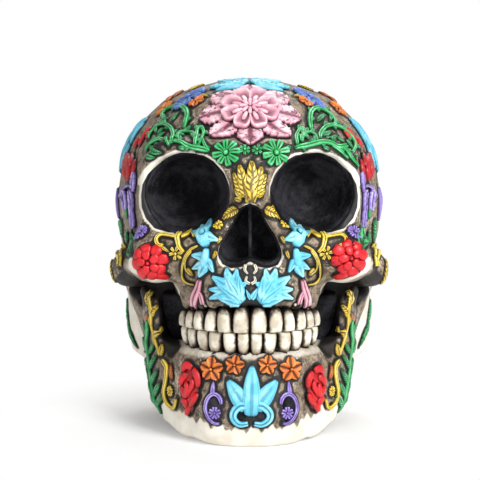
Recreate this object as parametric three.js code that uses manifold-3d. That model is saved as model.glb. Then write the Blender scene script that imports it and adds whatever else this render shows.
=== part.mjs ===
// A painted skull ornament: a hollow cast cranium and a cast jaw with set-in tooth rows, black
// lacquered bowls in the eye sockets and nose, and flowers, leaves and scrolls glued on in relief.
// The face looks along -Y, Z is up from the table, and left and right are the viewer's.
import * as THREE from "three";
import { mergeVertices } from "three/addons/utils/BufferGeometryUtils.js";
import Module from "manifold-3d";

const wasm = await Module();
wasm.setup();

// Cranium sizes
const BRAINCASE_WIDTH = 132;
const BRAINCASE_LENGTH = 140;
const BRAINCASE_HEIGHT = 122;
const BRAINCASE_Y = 14;
const BRAINCASE_Z = 104;
const BOSS_X = 34;
const BOSS_Z = 128;
const BOSS_WIDTH = 48;
const BOSS_LENGTH = 64;
const BOSS_HEIGHT = 52;
const FOREHEAD_WIDTH = 106;
const NAPE_WIDTH = 124;
const NAPE_LENGTH = 82;
const NAPE_Z = 46;
const NAPE_Y = 17;
const REAR_FOOT_WIDTH = 76;
const REAR_FOOT_LENGTH = 64;

// Eye sockets
const SOCKET_WIDTH = 42;
const SOCKET_HEIGHT = 39;
const SOCKET_DEPTH = 34;
const SOCKET_X = 29.4;
const SOCKET_Y = -70;
const SOCKET_Z = 113;
const SOCKET_TILT = THREE.MathUtils.degToRad(8);
const CUP_WALL = 2;
const CUP_SETBACK = 0.8;

// Nose opening
const NOSE_WIDTH = 29.5;
const NOSE_HEIGHT = 29;
const NOSE_FOOT_Z = 81;
const NOSE_DEPTH = 24;
const NOSE_FRONT_Y = -82;
const SEPTUM_THICKNESS = 1.6;
const SEPTUM_SETBACK = 9;

// Cheekbones and arches
const CHEEK_X = 45;
const CHEEK_Z = 81;
const ARCH_HALF_WIDTH = 58;
const ARCH_Z = 73;
const ARCH_RADIUS = 6.5;

// Teeth
const BITE_Z = 50.3;
const UPPER_GUM_Z = 60.5;
const LOWER_GUM_Z = 42;
const BITE_GAP = 0.5;
const UPPER_ARCH = { halfWidth: 31, length: 36, back: -42 };
const LOWER_ARCH = { halfWidth: 30, length: 34, back: -42 };
const UPPER_TOOTH_WIDTHS = [7.4, 6.8, 6.4, 6.4, 6.6, 7];
const LOWER_TOOTH_WIDTHS = [5.4, 6.2, 6.6, 6.8, 6.8, 7];
const UPPER_TOOTH_HEIGHT = 14.5;
const LOWER_TOOTH_HEIGHT = 12;
const TOOTH_THICKNESS = 7;
const TOOTH_OVERLAP = 1.6;

// Jaw
const JAW_TOP_Z = 40;
const JAW_HALF_THICKNESS = 5.6;
const ANGLE_HALF_WIDTH = 45;
const RAMUS_HALF_THICKNESS = 3.6;
const RAMUS_TOP_Z = 67;
const RAMUS_LEAN = 0.33;

// Black web that carries the jaw on the cranium
const WEB_WIDTH = 84;
const WEB_FRONT_Y = -36;
const WEB_LENGTH = 22;
const WEB_FOOT_Z = 26;
const WEB_TOP_Z = 62;
const TONGUE_WIDTH = 38;
const TONGUE_LENGTH = 20;
const TONGUE_HEIGHT = 16;

// The table that the feet are cut flat against
const TABLE_Z = -2.7;
const TABLE_WIDTH = 300;
const TABLE_DEPTH = 40;

// Fits between pieces
const FIT_GAP = 0.35;
const GLUE_GAP = 0.35;
const SINK = 0.9;
const LIFT = 0.2;

// Relief ornaments: reach of each flower, and rise above the bone
const DAHLIA_RADIUS = 26;
const BLOSSOM_RADIUS = 14;
const CHEEK_ROSE_RADIUS = 9.4;
const BROW_FLOWER_RADIUS = 6.3;
const BLUE_FLOWER_RADIUS = 8.5;
const TEMPLE_ROSE_RADIUS = 8;
const CHIN_ROSE_WIDTH = 14;
const CHIN_ROSE_HEIGHT = 24;
const CHIN_STAR_RADIUS = 4.3;
const PARIETAL_ROSE_RADIUS = 10;
const BACK_DAHLIA_RADIUS = 22;
const FLOWER_RISE = 2.6;
const LEAF_RISE = 1.9;
const STEM_RISE = 1.6;
const STEM_HALF_WIDTH = 1.3;

// Paint colours
const BONE = 0xd9cdb4;
const TOOTH = 0xe6dec6;
const LACQUER = 0x141316;
const PINK = 0xd88fa8;
const RED = 0xcf2436;
const CYAN = 0x54bfe2;
const BLUE = 0x4277c8;
const GREEN = 0x2aa052;
const GOLD = 0xe0b83c;
const PURPLE = 0x8363bd;
const ORANGE = 0xe2772c;

// Distance fields, negative inside, for the rounded cast forms
const lerp = THREE.MathUtils.lerp;
const clamp = THREE.MathUtils.clamp;

function ellipsoid([cx, cy, cz], [rx, ry, rz]) {
  return (x, y, z) => {
    const a = (x - cx) / rx;
    const b = (y - cy) / ry;
    const c = (z - cz) / rz;
    const whole = Math.hypot(a, b, c);
    const slope = Math.hypot(a / rx, b / ry, c / rz);
    return slope === 0 ? -Math.min(rx, ry, rz) : (whole * (whole - 1)) / slope;
  };
}

function bar([ax, ay, az], [bx, by, bz], startRadius, endRadius) {
  const dx = bx - ax;
  const dy = by - ay;
  const dz = bz - az;
  const lengthSquared = dx * dx + dy * dy + dz * dz;
  return (x, y, z) => {
    const along = ((x - ax) * dx + (y - ay) * dy + (z - az) * dz) / lengthSquared;
    const t = clamp(along, 0, 1);
    const reach = Math.hypot(x - ax - dx * t, y - ay - dy * t, z - az - dz * t);
    return reach - lerp(startRadius, endRadius, t);
  };
}

// A wall along stations in plan, each with its own foot, top and half thickness
function wall(stations, round) {
  return (x, y, z) => {
    let nearest = Infinity;
    for (let i = 0; i + 1 < stations.length; i++) {
      const a = stations[i];
      const b = stations[i + 1];
      const dx = b.x - a.x;
      const dy = b.y - a.y;
      const along = ((x - a.x) * dx + (y - a.y) * dy) / (dx * dx + dy * dy);
      const t = clamp(along, 0, 1);
      const reach = Math.hypot(x - a.x - dx * t, y - a.y - dy * t);
      const side = reach - lerp(a.half, b.half, t) + round;
      const foot = lerp(a.foot, b.foot, t);
      const top = lerp(a.top, b.top, t);
      const tall = Math.abs(z - (foot + top) / 2) - (top - foot) / 2 + round;
      const outside = Math.hypot(Math.max(side, 0), Math.max(tall, 0));
      nearest = Math.min(nearest, outside + Math.min(Math.max(side, tall), 0) - round);
    }
    return nearest;
  };
}

const paired = (field) => (x, y, z) => field(Math.abs(x), y, z);

// Joins fields in turn, each with a fillet of its own size
function blend(parts) {
  return (x, y, z) => {
    let joined = Infinity;
    for (const [field, fillet] of parts) {
      const d = field(x, y, z);
      const near = Math.max(fillet - Math.abs(joined - d), 0) / fillet;
      joined = Math.min(joined, d) - (Number.isFinite(joined) ? (near * near * fillet) / 4 : 0);
    }
    return joined;
  };
}

function carve(field, hollow, fillet) {
  return (x, y, z) => {
    const a = field(x, y, z);
    const b = -hollow(x, y, z);
    const near = Math.max(fillet - Math.abs(a - b), 0) / fillet;
    return Math.max(a, b) + (near * near * fillet) / 4;
  };
}

function slopeOf(field, p) {
  const step = 0.05;
  return new THREE.Vector3(
    field(p.x + step, p.y, p.z) - field(p.x - step, p.y, p.z),
    field(p.x, p.y + step, p.z) - field(p.x, p.y - step, p.z),
    field(p.x, p.y, p.z + step) - field(p.x, p.y, p.z - step),
  ).divideScalar(2 * step);
}

function onto(field, p) {
  for (let pull = 0; pull < 6; pull++) {
    const slope = slopeOf(field, p);
    p.addScaledVector(slope, -field(p.x, p.y, p.z) / Math.max(slope.lengthSq(), 0.2));
  }
  return p;
}

// Grid lines from spans, each with its own end and cell size
function ticks(start, ...spans) {
  const lines = [start];
  for (const [end, cell] of spans) {
    const from = lines.at(-1);
    const steps = Math.max(1, Math.round((end - from) / cell));
    for (let i = 1; i <= steps; i++) lines.push(lerp(from, end, i / steps));
  }
  return lines;
}

// Fills the nearer outside corner of each grid face that has its inside corners on one diagonal, so
// that the skin never touches itself
function closePinches(values, [nx, ny, nz]) {
  const steps = [1, nx, nx * ny];
  let closed = false;
  while (!closed) {
    closed = true;
    for (let n = 0; n < nx * ny * (nz - 1) - nx; n++)
      for (const [u, v] of [[0, 1], [1, 2], [2, 0]]) {
        const face = [n, n + steps[u], n + steps[u] + steps[v], n + steps[v]];
        const [a, b, c, d] = face.map((corner) => values[corner] < 0);
        if (a !== c || b !== d || a === b) continue;
        const [p, q] = a ? [face[1], face[3]] : [face[0], face[2]];
        values[values[p] < values[q] ? p : q] = -1e-3;
        closed = false;
      }
  }
}

// Skins a field with a closed mesh: one vertex in each cell that the surface crosses, pulled onto
// the surface and then moved out by the gap
function skin(field, [xs, ys, zs], gap = 0) {
  const at = (i, j, k) => (k * ys.length + j) * xs.length + i;
  const values = new Float32Array(xs.length * ys.length * zs.length);
  for (let k = 0; k < zs.length; k++)
    for (let j = 0; j < ys.length; j++)
      for (let i = 0; i < xs.length; i++) values[at(i, j, k)] = field(xs[i], ys[j], zs[k]);
  closePinches(values, [xs.length, ys.length, zs.length]);
  const corners = [0, 1, 2, 3, 4, 5, 6, 7].map((c) => [c & 1, (c >> 1) & 1, c >> 2]);
  const positions = [];
  const vertexOf = new Map();
  const vertexIn = (i, j, k) => {
    const key = at(i, j, k);
    if (vertexOf.has(key)) return vertexOf.get(key);
    const p = new THREE.Vector3();
    let crossings = 0;
    for (const [a, b, c] of corners)
      for (const [da, db, dc] of [[1, 0, 0], [0, 1, 0], [0, 0, 1]]) {
        if (a + da > 1 || b + db > 1 || c + dc > 1) continue;
        const start = values[at(i + a, j + b, k + c)];
        const end = values[at(i + a + da, j + b + db, k + c + dc)];
        if (start < 0 === end < 0) continue;
        const t = start / (start - end);
        p.x += lerp(xs[i + a], xs[i + a + da], t);
        p.y += lerp(ys[j + b], ys[j + b + db], t);
        p.z += lerp(zs[k + c], zs[k + c + dc], t);
        crossings++;
      }
    onto(field, p.divideScalar(crossings));
    p.addScaledVector(slopeOf(field, p).normalize(), gap);
    vertexOf.set(key, positions.length / 3);
    positions.push(p.x, p.y, p.z);
    return vertexOf.get(key);
  };
  const index = [];
  const apart = (a, b) =>
    Math.hypot(...[0, 1, 2].map((n) => positions[3 * a + n] - positions[3 * b + n]));
  const quad = (a, b, c, d, flip) => {
    const [p, q, r, t] = apart(a, c) < apart(b, d) - 1e-3 ? [a, b, c, d] : [b, c, d, a];
    if (flip) index.push(p, r, q, p, t, r);
    else index.push(p, q, r, p, r, t);
  };
  for (let k = 1; k < zs.length - 1; k++)
    for (let j = 1; j < ys.length - 1; j++)
      for (let i = 1; i < xs.length - 1; i++) {
        const inside = values[at(i, j, k)] < 0;
        if (inside !== values[at(i + 1, j, k)] < 0)
          quad(vertexIn(i, j - 1, k - 1), vertexIn(i, j, k - 1), vertexIn(i, j, k),
            vertexIn(i, j - 1, k), !inside);
        if (inside !== values[at(i, j + 1, k)] < 0)
          quad(vertexIn(i - 1, j, k - 1), vertexIn(i - 1, j, k), vertexIn(i, j, k),
            vertexIn(i, j, k - 1), !inside);
        if (inside !== values[at(i, j, k + 1)] < 0)
          quad(vertexIn(i - 1, j - 1, k), vertexIn(i, j - 1, k), vertexIn(i, j, k),
            vertexIn(i - 1, j, k), !inside);
      }
  return new THREE.BufferGeometry()
    .setAttribute("position", new THREE.Float32BufferAttribute(positions, 3))
    .setIndex(index);
}

// Solids, for joins and cuts
function solid(geometry) {
  const bare = geometry.clone();
  bare.deleteAttribute("normal");
  bare.deleteAttribute("uv");
  const welded = mergeVertices(bare, 1e-4);
  const triVerts = [];
  for (let i = 0; i < welded.index.count; i += 3) {
    const [a, b, c] = [0, 1, 2].map((n) => welded.index.getX(i + n));
    if (a !== b && b !== c && c !== a) triVerts.push(a, b, c);
  }
  return new wasm.Manifold(
    new wasm.Mesh({
      numProp: 3,
      vertProperties: new Float32Array(welded.attributes.position.array),
      triVerts: new Uint32Array(triVerts),
    }),
  );
}

function geometryOf(body) {
  const mesh = body.getMesh();
  return new THREE.BufferGeometry()
    .setAttribute("position", new THREE.BufferAttribute(mesh.vertProperties, 3))
    .setIndex(new THREE.BufferAttribute(mesh.triVerts, 1));
}

const skull = new THREE.Group();

function addPiece(name, geometry, colour, roughness = 0.6) {
  const drawn = geometry.toNonIndexed();
  drawn.computeVertexNormals();
  const material = new THREE.MeshStandardMaterial({ color: colour, roughness, metalness: 0 });
  const mesh = new THREE.Mesh(drawn, material);
  mesh.name = name;
  skull.add(mesh);
  return mesh;
}

// The cranium's form
const SOCKET_TOP_Z = SOCKET_Z + SOCKET_HEIGHT / 2;
const SOCKET_FOOT_Z = SOCKET_Z - SOCKET_HEIGHT / 2;
const SOCKET_OUTER_X = SOCKET_X + SOCKET_WIDTH / 2;

function toothArchPoint(arch, angle) {
  return { x: arch.halfWidth * Math.sin(angle), y: arch.back - arch.length * Math.cos(angle) };
}

function toothRidge(arch, foot, top, half) {
  const stations = [];
  for (let step = 0; step <= 6; step++) {
    const angle = THREE.MathUtils.degToRad(15 * step);
    stations.push({ ...toothArchPoint(arch, angle), foot, top, half });
  }
  return wall(stations, 3);
}

const craniumField = paired(
  carve(
    blend([
      [ellipsoid([0, BRAINCASE_Y, BRAINCASE_Z],
        [BRAINCASE_WIDTH / 2, BRAINCASE_LENGTH / 2, BRAINCASE_HEIGHT / 2]), 1],
      [ellipsoid([BOSS_X, BRAINCASE_Y + 4, BOSS_Z], [BOSS_WIDTH / 2, BOSS_LENGTH / 2, BOSS_HEIGHT / 2]), 12],
      [ellipsoid([0, -24, 115], [FOREHEAD_WIDTH / 2, 48, 47]), 14],
      [ellipsoid([0, NAPE_Y, NAPE_Z + 8], [NAPE_WIDTH / 2, NAPE_LENGTH / 2, NAPE_Z - 8]), 14],
      [bar([0, NAPE_Y - 4, NAPE_Z - 11], [NAPE_WIDTH / 2 - 16, NAPE_Y - 4, NAPE_Z - 11], 16, 16), 8],
      [ellipsoid([0, NAPE_Y, NAPE_Z / 2], [REAR_FOOT_WIDTH / 2, REAR_FOOT_LENGTH / 2, 34]), 10],
      [ellipsoid([0, -44, SOCKET_Z - 6], [SOCKET_OUTER_X + 0.5, 32, 33]), 10],
      [bar([8, -72, SOCKET_TOP_Z - 1], [39, -60, SOCKET_TOP_Z], 7, 6), 8],
      [bar([SOCKET_OUTER_X - 4, -56, SOCKET_TOP_Z - 6], [SOCKET_OUTER_X - 3, -52, SOCKET_FOOT_Z + 4],
        5, 5), 6],
      [bar([14, -74, SOCKET_FOOT_Z - 3], [CHEEK_X, -60, CHEEK_Z + 6], 7, 7), 8],
      [bar([0, -72, SOCKET_Z + 12], [0, -81, NOSE_FOOT_Z + NOSE_HEIGHT - 1], 8, 6), 7],
      [ellipsoid([0, -46, NOSE_FOOT_Z], [33, 35, 20]), 8],
      [toothRidge(UPPER_ARCH, UPPER_GUM_Z, 76, 4.4), 6],
      [ellipsoid([CHEEK_X, -56, CHEEK_Z], [12, 14, 11]), 8],
      [bar([CHEEK_X + 4, -50, CHEEK_Z - 1], [ARCH_HALF_WIDTH, -28, ARCH_Z + 1], ARCH_RADIUS - 1,
        ARCH_RADIUS), 6],
      [bar([ARCH_HALF_WIDTH, -28, ARCH_Z + 1], [ARCH_HALF_WIDTH - 1, 0, ARCH_Z - 3], ARCH_RADIUS,
        ARCH_RADIUS + 2), 12],
    ]),
    ellipsoid([SOCKET_OUTER_X + 16, -38, SOCKET_Z - 4], [9, 18, 22]),
    8,
  ),
);

// The jaw's form
const ramusStations = [
  { x: ANGLE_HALF_WIDTH - 5.5, y: -42, foot: 28, top: RAMUS_TOP_Z - 4, half: RAMUS_HALF_THICKNESS },
  { x: ANGLE_HALF_WIDTH - 3.5, y: -35, foot: 24, top: RAMUS_TOP_Z + 1, half: RAMUS_HALF_THICKNESS },
  { x: ANGLE_HALF_WIDTH, y: -24, foot: 22, top: RAMUS_TOP_Z - 13, half: RAMUS_HALF_THICKNESS },
  { x: ANGLE_HALF_WIDTH + 3, y: -13, foot: 25, top: RAMUS_TOP_Z - 4, half: RAMUS_HALF_THICKNESS + 0.6 },
  { x: ANGLE_HALF_WIDTH + 4, y: -7, foot: 34, top: RAMUS_TOP_Z, half: RAMUS_HALF_THICKNESS + 1 },
];
const bodyStations = [
  { x: 0, y: -73, foot: TABLE_Z, top: JAW_TOP_Z, half: JAW_HALF_THICKNESS },
  { x: 18, y: -70, foot: TABLE_Z, top: JAW_TOP_Z, half: JAW_HALF_THICKNESS },
  { x: ANGLE_HALF_WIDTH - 17, y: -61, foot: TABLE_Z, top: JAW_TOP_Z, half: JAW_HALF_THICKNESS },
  { x: ANGLE_HALF_WIDTH - 8.5, y: -48, foot: TABLE_Z + 4, top: JAW_TOP_Z - 6, half: JAW_HALF_THICKNESS },
  { x: ANGLE_HALF_WIDTH - 3, y: -34, foot: TABLE_Z + 11, top: JAW_TOP_Z - 4, half: JAW_HALF_THICKNESS },
  { x: ANGLE_HALF_WIDTH - 0.5, y: -20, foot: TABLE_Z + 22, top: JAW_TOP_Z + 4, half: JAW_HALF_THICKNESS },
];
const leaning = (field) => (x, y, z) => field(x - RAMUS_LEAN * (z - JAW_TOP_Z), y, z);
const jawField = paired(
  blend([
    [wall(bodyStations, JAW_HALF_THICKNESS - 0.2), 1],
    [leaning(wall(ramusStations, 3)), 7],
    [ellipsoid([0, -74, 11], [24, 8.5, 16]), 8],
    [toothRidge(LOWER_ARCH, LOWER_GUM_Z - 16, LOWER_GUM_Z, 4.4), 5],
  ]),
);

// Teeth
function tooth(width, height, rootScale, grow) {
  const shape = new THREE.SphereGeometry(1, 8, 6).rotateX(Math.PI / 2);
  const position = shape.attributes.position;
  const squared = (v) => (Math.abs(v) < 1e-6 ? 0 : Math.sign(v) * Math.abs(v) ** 0.42);
  for (let i = 0; i < position.count; i++) {
    const z = squared(position.getZ(i));
    const taper = lerp(1, rootScale, (z + 1) / 2);
    position.setXYZ(
      i,
      squared(position.getX(i)) * (width / 2 + grow) * taper,
      squared(position.getY(i)) * (TOOTH_THICKNESS / 2 + grow) * taper,
      z * (height / 2 + grow),
    );
  }
  return shape;
}

// One row of teeth, cast together. Up is 1 for the upper row and -1 for the lower one.
function toothRow(arch, widths, height, up, grow) {
  const speed = (angle) =>
    Math.hypot(arch.halfWidth * Math.cos(angle), arch.length * Math.sin(angle));
  const bite = BITE_Z + (up * BITE_GAP) / 2;
  let row = null;
  for (const side of [1, -1]) {
    let angle = 0;
    widths.forEach((width, i) => {
      const half = width / 2 / speed(angle);
      const middle = angle + half;
      angle += 2 * half;
      const p = toothArchPoint(arch, middle);
      const facing = Math.atan2(arch.length * Math.sin(middle), arch.halfWidth * Math.cos(middle));
      const shape = tooth(width + TOOTH_OVERLAP, height * (1 - 0.03 * i), 0.72, grow);
      if (up < 0) shape.rotateX(Math.PI);
      shape.rotateZ(side * facing);
      shape.translate(side * p.x, p.y, bite + (up * height * (1 - 0.03 * i)) / 2);
      const next = solid(shape);
      row = row ? row.add(next) : next;
    });
  }
  return row;
}

// Eye bowls and sockets
function socketShape(side, inset) {
  const bowl = new THREE.SphereGeometry(1, 16, 9).scale(
    SOCKET_WIDTH / 2 - inset,
    SOCKET_DEPTH - inset,
    SOCKET_HEIGHT / 2 - inset,
  );
  bowl.rotateY(side * SOCKET_TILT);
  return solid(bowl.translate(side * SOCKET_X, SOCKET_Y, SOCKET_Z));
}

// Nose opening, drawn from the front
function noseBlock(inset, front, back) {
  const half = NOSE_WIDTH / 2 - inset;
  const tall = NOSE_HEIGHT - 2 * inset;
  const right = [[0.35, 0.01], [0.7, 0], [0.93, 0.07], [1, 0.17], [0.95, 0.3], [0.8, 0.46],
    [0.62, 0.6], [0.44, 0.76], [0.3, 0.91], [0.14, 0.99]];
  const left = right.map(([x, z]) => [-x, z]).reverse();
  const outline = [[0, 0.08], ...right, ...left];
  const shape = new THREE.Shape(
    outline.map(([x, z]) => new THREE.Vector2(x * half, z * tall + inset)),
  );
  const block = new THREE.ExtrudeGeometry(shape, { depth: back - front, bevelEnabled: false });
  return solid(block.rotateX(Math.PI / 2).translate(0, back, NOSE_FOOT_Z));
}

// Structure: cranium, jaw, tooth rows, black bowls and the web between cranium and jaw
const craniumHalfWidth = BRAINCASE_WIDTH / 2 + 18;
const craniumGrid = [
  ticks(-craniumHalfWidth, [craniumHalfWidth, 7.3]),
  ticks(SOCKET_Y - 28, [-BRAINCASE_Y, 6.4], [BRAINCASE_Y + BRAINCASE_LENGTH / 2 + 14, 13]),
  ticks(
    -TABLE_DEPTH, [NAPE_Z, 13], [BRAINCASE_Z + 38, 6.8], [BRAINCASE_Z + BRAINCASE_HEIGHT / 2 + 11, 10],
  ),
];
const jawHalfWidth = ANGLE_HALF_WIDTH + 31;
const jawGrid = [
  ticks(-jawHalfWidth, [jawHalfWidth, 6.4]),
  ticks(NOSE_FRONT_Y - 14, [12, 6.2]),
  ticks(-12, [RAMUS_TOP_Z + 17, 6.2]),
];
const craniumSkin = (gap) => solid(skin(craniumField, craniumGrid, gap));
const jawSkin = (gap) => solid(skin(jawField, jawGrid, gap));
const tableBlock = solid(
  new THREE.BoxGeometry(TABLE_WIDTH, TABLE_WIDTH, TABLE_DEPTH).translate(
    0, 0, TABLE_Z - TABLE_DEPTH / 2,
  ),
);
const upperTeeth = (grow) =>
  toothRow(UPPER_ARCH, UPPER_TOOTH_WIDTHS, UPPER_TOOTH_HEIGHT, 1, grow);
const lowerTeeth = (grow) =>
  toothRow(LOWER_ARCH, LOWER_TOOTH_WIDTHS, LOWER_TOOTH_HEIGHT, -1, grow);
const noseBackY = NOSE_FRONT_Y + NOSE_DEPTH;
const teethClearance = upperTeeth(FIT_GAP);

let cranium = craniumSkin(0).subtract(tableBlock);
for (const side of [1, -1]) cranium = cranium.subtract(socketShape(side, 0));
cranium = cranium.subtract(noseBlock(0, -120, noseBackY));
cranium = cranium.subtract(jawSkin(FIT_GAP)).subtract(teethClearance);
const jaw = jawSkin(0).subtract(tableBlock).subtract(lowerTeeth(FIT_GAP)).subtract(teethClearance);

addPiece("cranium", geometryOf(cranium), BONE);
addPiece("mandible", geometryOf(jaw), BONE);
addPiece("upper_teeth", geometryOf(upperTeeth(0)), TOOTH, 0.4);
addPiece("lower_teeth", geometryOf(lowerTeeth(0)), TOOTH, 0.4);
const cupLimit = craniumSkin(-CUP_SETBACK);
for (const [name, side] of [["eye_cup_left", -1], ["eye_cup_right", 1]]) {
  const bowl = socketShape(side, FIT_GAP).subtract(socketShape(side, FIT_GAP + CUP_WALL));
  addPiece(name, geometryOf(bowl.intersect(cupLimit)), LACQUER, 0.35);
}
const septum = solid(
  new THREE.BoxGeometry(SEPTUM_THICKNESS, NOSE_DEPTH - SEPTUM_SETBACK, NOSE_HEIGHT - 5).translate(
    0, noseBackY - (NOSE_DEPTH - SEPTUM_SETBACK) / 2, NOSE_FOOT_Z + NOSE_HEIGHT / 2,
  ),
);
const noseLiner = noseBlock(FIT_GAP, -120, noseBackY - FIT_GAP);
const noseBore = noseBlock(FIT_GAP + CUP_WALL, -121, noseBackY - FIT_GAP - CUP_WALL);
const noseCup = noseLiner.subtract(noseBore).add(septum.intersect(noseLiner)).intersect(cupLimit);
addPiece("nose_cup", geometryOf(noseCup), LACQUER, 0.35);

const webHeight = WEB_TOP_Z - WEB_FOOT_Z;
const webBlock = new THREE.BoxGeometry(WEB_WIDTH, WEB_LENGTH, webHeight).translate(
  0, WEB_FRONT_Y + WEB_LENGTH / 2, WEB_FOOT_Z + webHeight / 2,
);
const tongueBlock = new THREE.BoxGeometry(TONGUE_WIDTH, TONGUE_LENGTH, TONGUE_HEIGHT).translate(
  0, WEB_FRONT_Y + 1 - TONGUE_LENGTH / 2, BITE_Z,
);
const web = solid(webBlock).add(solid(tongueBlock)).subtract(craniumSkin(FIT_GAP))
  .subtract(jawSkin(FIT_GAP)).subtract(teethClearance);
addPiece("throat_web", geometryOf(web.subtract(lowerTeeth(FIT_GAP))), LACQUER, 0.6);

// Ornament kit: a seat lays (across, up, rise) onto a cast form round the surface point nearest a
// guess. The foot is let in by the sink before it is trimmed, or raised on a hollow by a negative one.
function seatOn(field, guess, sink = 0) {
  const middle = onto(field, new THREE.Vector3(...guess));
  const out = slopeOf(field, middle).normalize();
  const across = new THREE.Vector3(0, 0, 1).cross(out).normalize();
  const up = out.clone().cross(across);
  return (u, v, rise) => {
    const p = onto(field, middle.clone().addScaledVector(across, u).addScaledVector(up, v));
    return p.addScaledVector(slopeOf(field, p).normalize(), rise === 0 ? GLUE_GAP - sink : GLUE_GAP + rise);
  };
}

function surface(points, index) {
  return new THREE.BufferGeometry().setFromPoints(points).setIndex(index);
}

// A leaf or stem along a path of [across, up, half width]
const CRESTED = [[1, 0], [0, 1], [-1, 0]];
const FLAT_TOPPED = [[1, 0], [0.6, 1], [-0.6, 1], [-1, 0]];

function blade(seat, path, rise, section, pitch = 6) {
  const curve = new THREE.CatmullRomCurve3(path.map((stop) => new THREE.Vector3(...stop)));
  const steps = Math.max(3, Math.round(curve.getLength() / pitch));
  const points = [];
  for (let i = 0; i <= steps; i++) {
    const p = curve.getPoint(i / steps);
    const along = curve.getTangent(i / steps);
    const length = Math.hypot(along.x, along.y);
    const end = i === 0 || i === steps ? 0.6 : 1;
    for (const [side, high] of section) {
      const reach = (side * Math.max(p.z, 0.35)) / length;
      points.push(seat(p.x - along.y * reach, p.y + along.x * reach, high * rise * end));
    }
  }
  const n = section.length;
  const index = [];
  for (let i = 0; i < steps; i++)
    for (let j = 0; j < n; j++) {
      const a = i * n + j;
      const b = i * n + ((j + 1) % n);
      index.push(a, b, b + n, a, b + n, a + n);
    }
  for (let j = 1; j + 1 < n; j++) {
    index.push(0, j + 1, j);
    index.push(steps * n, steps * n + j, steps * n + j + 1);
  }
  return surface(points, index);
}

const leaf = (seat, from, to, halfWidth, rise = LEAF_RISE) =>
  blade(seat, [[...from, halfWidth * 0.35], [lerp(from[0], to[0], 0.5), lerp(from[1], to[1], 0.5),
    halfWidth], [...to, 0.4]], rise, CRESTED);

const stem = (seat, path) =>
  blade(seat, path.map(([u, v], i) => [u, v, i === path.length - 1 ? 0.6 : STEM_HALF_WIDTH]),
    STEM_RISE, FLAT_TOPPED, 4);

// A vine of scrolling stems, with leaves given as [from, to, half width]
const vine = (seat, stems, leaves) => [
  ...stems.map((path) => stem(seat, path)), ...leaves.map((stops) => leaf(seat, ...stops)),
];

// A flower with round or pointed petals round a low bud. Reach is [across, up].
function flower(seat, { at = [0, 0], reach, petals, rise, notch = 0.22, base = 0, pointed = false }) {
  const perPetal = pointed ? 2 : 4;
  const spokes = petals * perPetal;
  const points = [seat(at[0], at[1], base + 0.85 * rise)];
  const rings = [[0.24, 0.7, 0.7], [0.7, 1, 0.45], [1, 0, 0]];
  if (reach[0] > 10) rings.push([0.5, 0, 0]);
  for (const [share, crest, valley] of rings)
    for (let spoke = 0; spoke < spokes; spoke++) {
      const angle = (2 * Math.PI * spoke) / spokes + Math.PI / 2;
      const swell = Math.cos((2 * Math.PI * spoke) / perPetal);
      const edge = share <= 0.5 ? 1 : 0.94 + (swell > 0 ? 0.06 * swell : notch * swell);
      const high = swell < -0.5 ? valley : crest;
      points.push(seat(
        at[0] + reach[0] * share * edge * Math.cos(angle),
        at[1] + reach[1] * share * edge * Math.sin(angle),
        base + high * rise,
      ));
    }
  const foot = points.push(seat(at[0], at[1], base)) - 1;
  const index = [];
  for (let spoke = 0; spoke < spokes; spoke++) {
    const next = (spoke + 1) % spokes;
    index.push(0, 1 + spoke, 1 + next);
    for (let ring = 0; ring + 1 < rings.length; ring++) {
      const inner = 1 + ring * spokes;
      const outer = inner + spokes;
      index.push(inner + spoke, outer + spoke, outer + next);
      index.push(inner + spoke, outer + next, inner + next);
    }
    const rim = 1 + (rings.length - 1) * spokes;
    index.push(foot, rim + next, rim + spoke);
  }
  return surface(points, index);
}

const round = (radius) => [radius, radius];

// Joins shapes into one body and trims its foot to the bone where a glue line is given
function joined(shapes, glueLine = null) {
  const body = shapes.map(solid).reduce((a, b) => a.add(b));
  return geometryOf(glueLine ? body.subtract(glueLine) : body);
}

function mirrored(geometry) {
  const copy = geometry.clone().scale(-1, 1, 1);
  const index = Array.from(copy.index.array);
  for (let i = 0; i < index.length; i += 3) [index[i], index[i + 1]] = [index[i + 1], index[i]];
  return copy.setIndex(index);
}

function addPair(name, colour, shapes, glueLine = null) {
  addPiece(`${name}_left`, joined(shapes.map(mirrored), glueLine), colour);
  addPiece(`${name}_right`, joined(shapes, glueLine), colour);
}

const craniumGlue = craniumSkin(GLUE_GAP);
const jawGlue = jawSkin(GLUE_GAP);

// Forehead: the big dahlia, crown leaves, blue flowers and the brow row
const dahliaSeat = seatOn(craniumField, [0, -55.8, 150.2]);
const dahliaLeafSeat = seatOn(craniumField, [0, -55.8, 150.2], SINK);
const dahliaLeaves = [];
for (let i = 0; i < 8; i++) {
  const angle = (i * Math.PI) / 4 + Math.PI / 2;
  const at = (reach, halfWidth) => [
    DAHLIA_RADIUS * reach * Math.cos(angle), DAHLIA_RADIUS * reach * Math.sin(angle), halfWidth,
  ];
  const path = [at(0.2, 2.6), at(0.45, 5), at(0.72, 6), at(1, 0.5)];
  dahliaLeaves.push(blade(dahliaLeafSeat, path, LEAF_RISE, CRESTED));
}
dahliaLeaves.push(flower(dahliaLeafSeat, {
  reach: round(0.34 * DAHLIA_RADIUS), petals: 4, rise: LEAF_RISE, notch: 0.06,
}));
addPiece("dahlia_leaves", joined(dahliaLeaves, craniumGlue), PINK);
addPiece("dahlia_blossom", flower(dahliaSeat, {
  reach: round(BLOSSOM_RADIUS), petals: 8, rise: FLOWER_RISE, base: LEAF_RISE + GLUE_GAP,
}), PINK);

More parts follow.
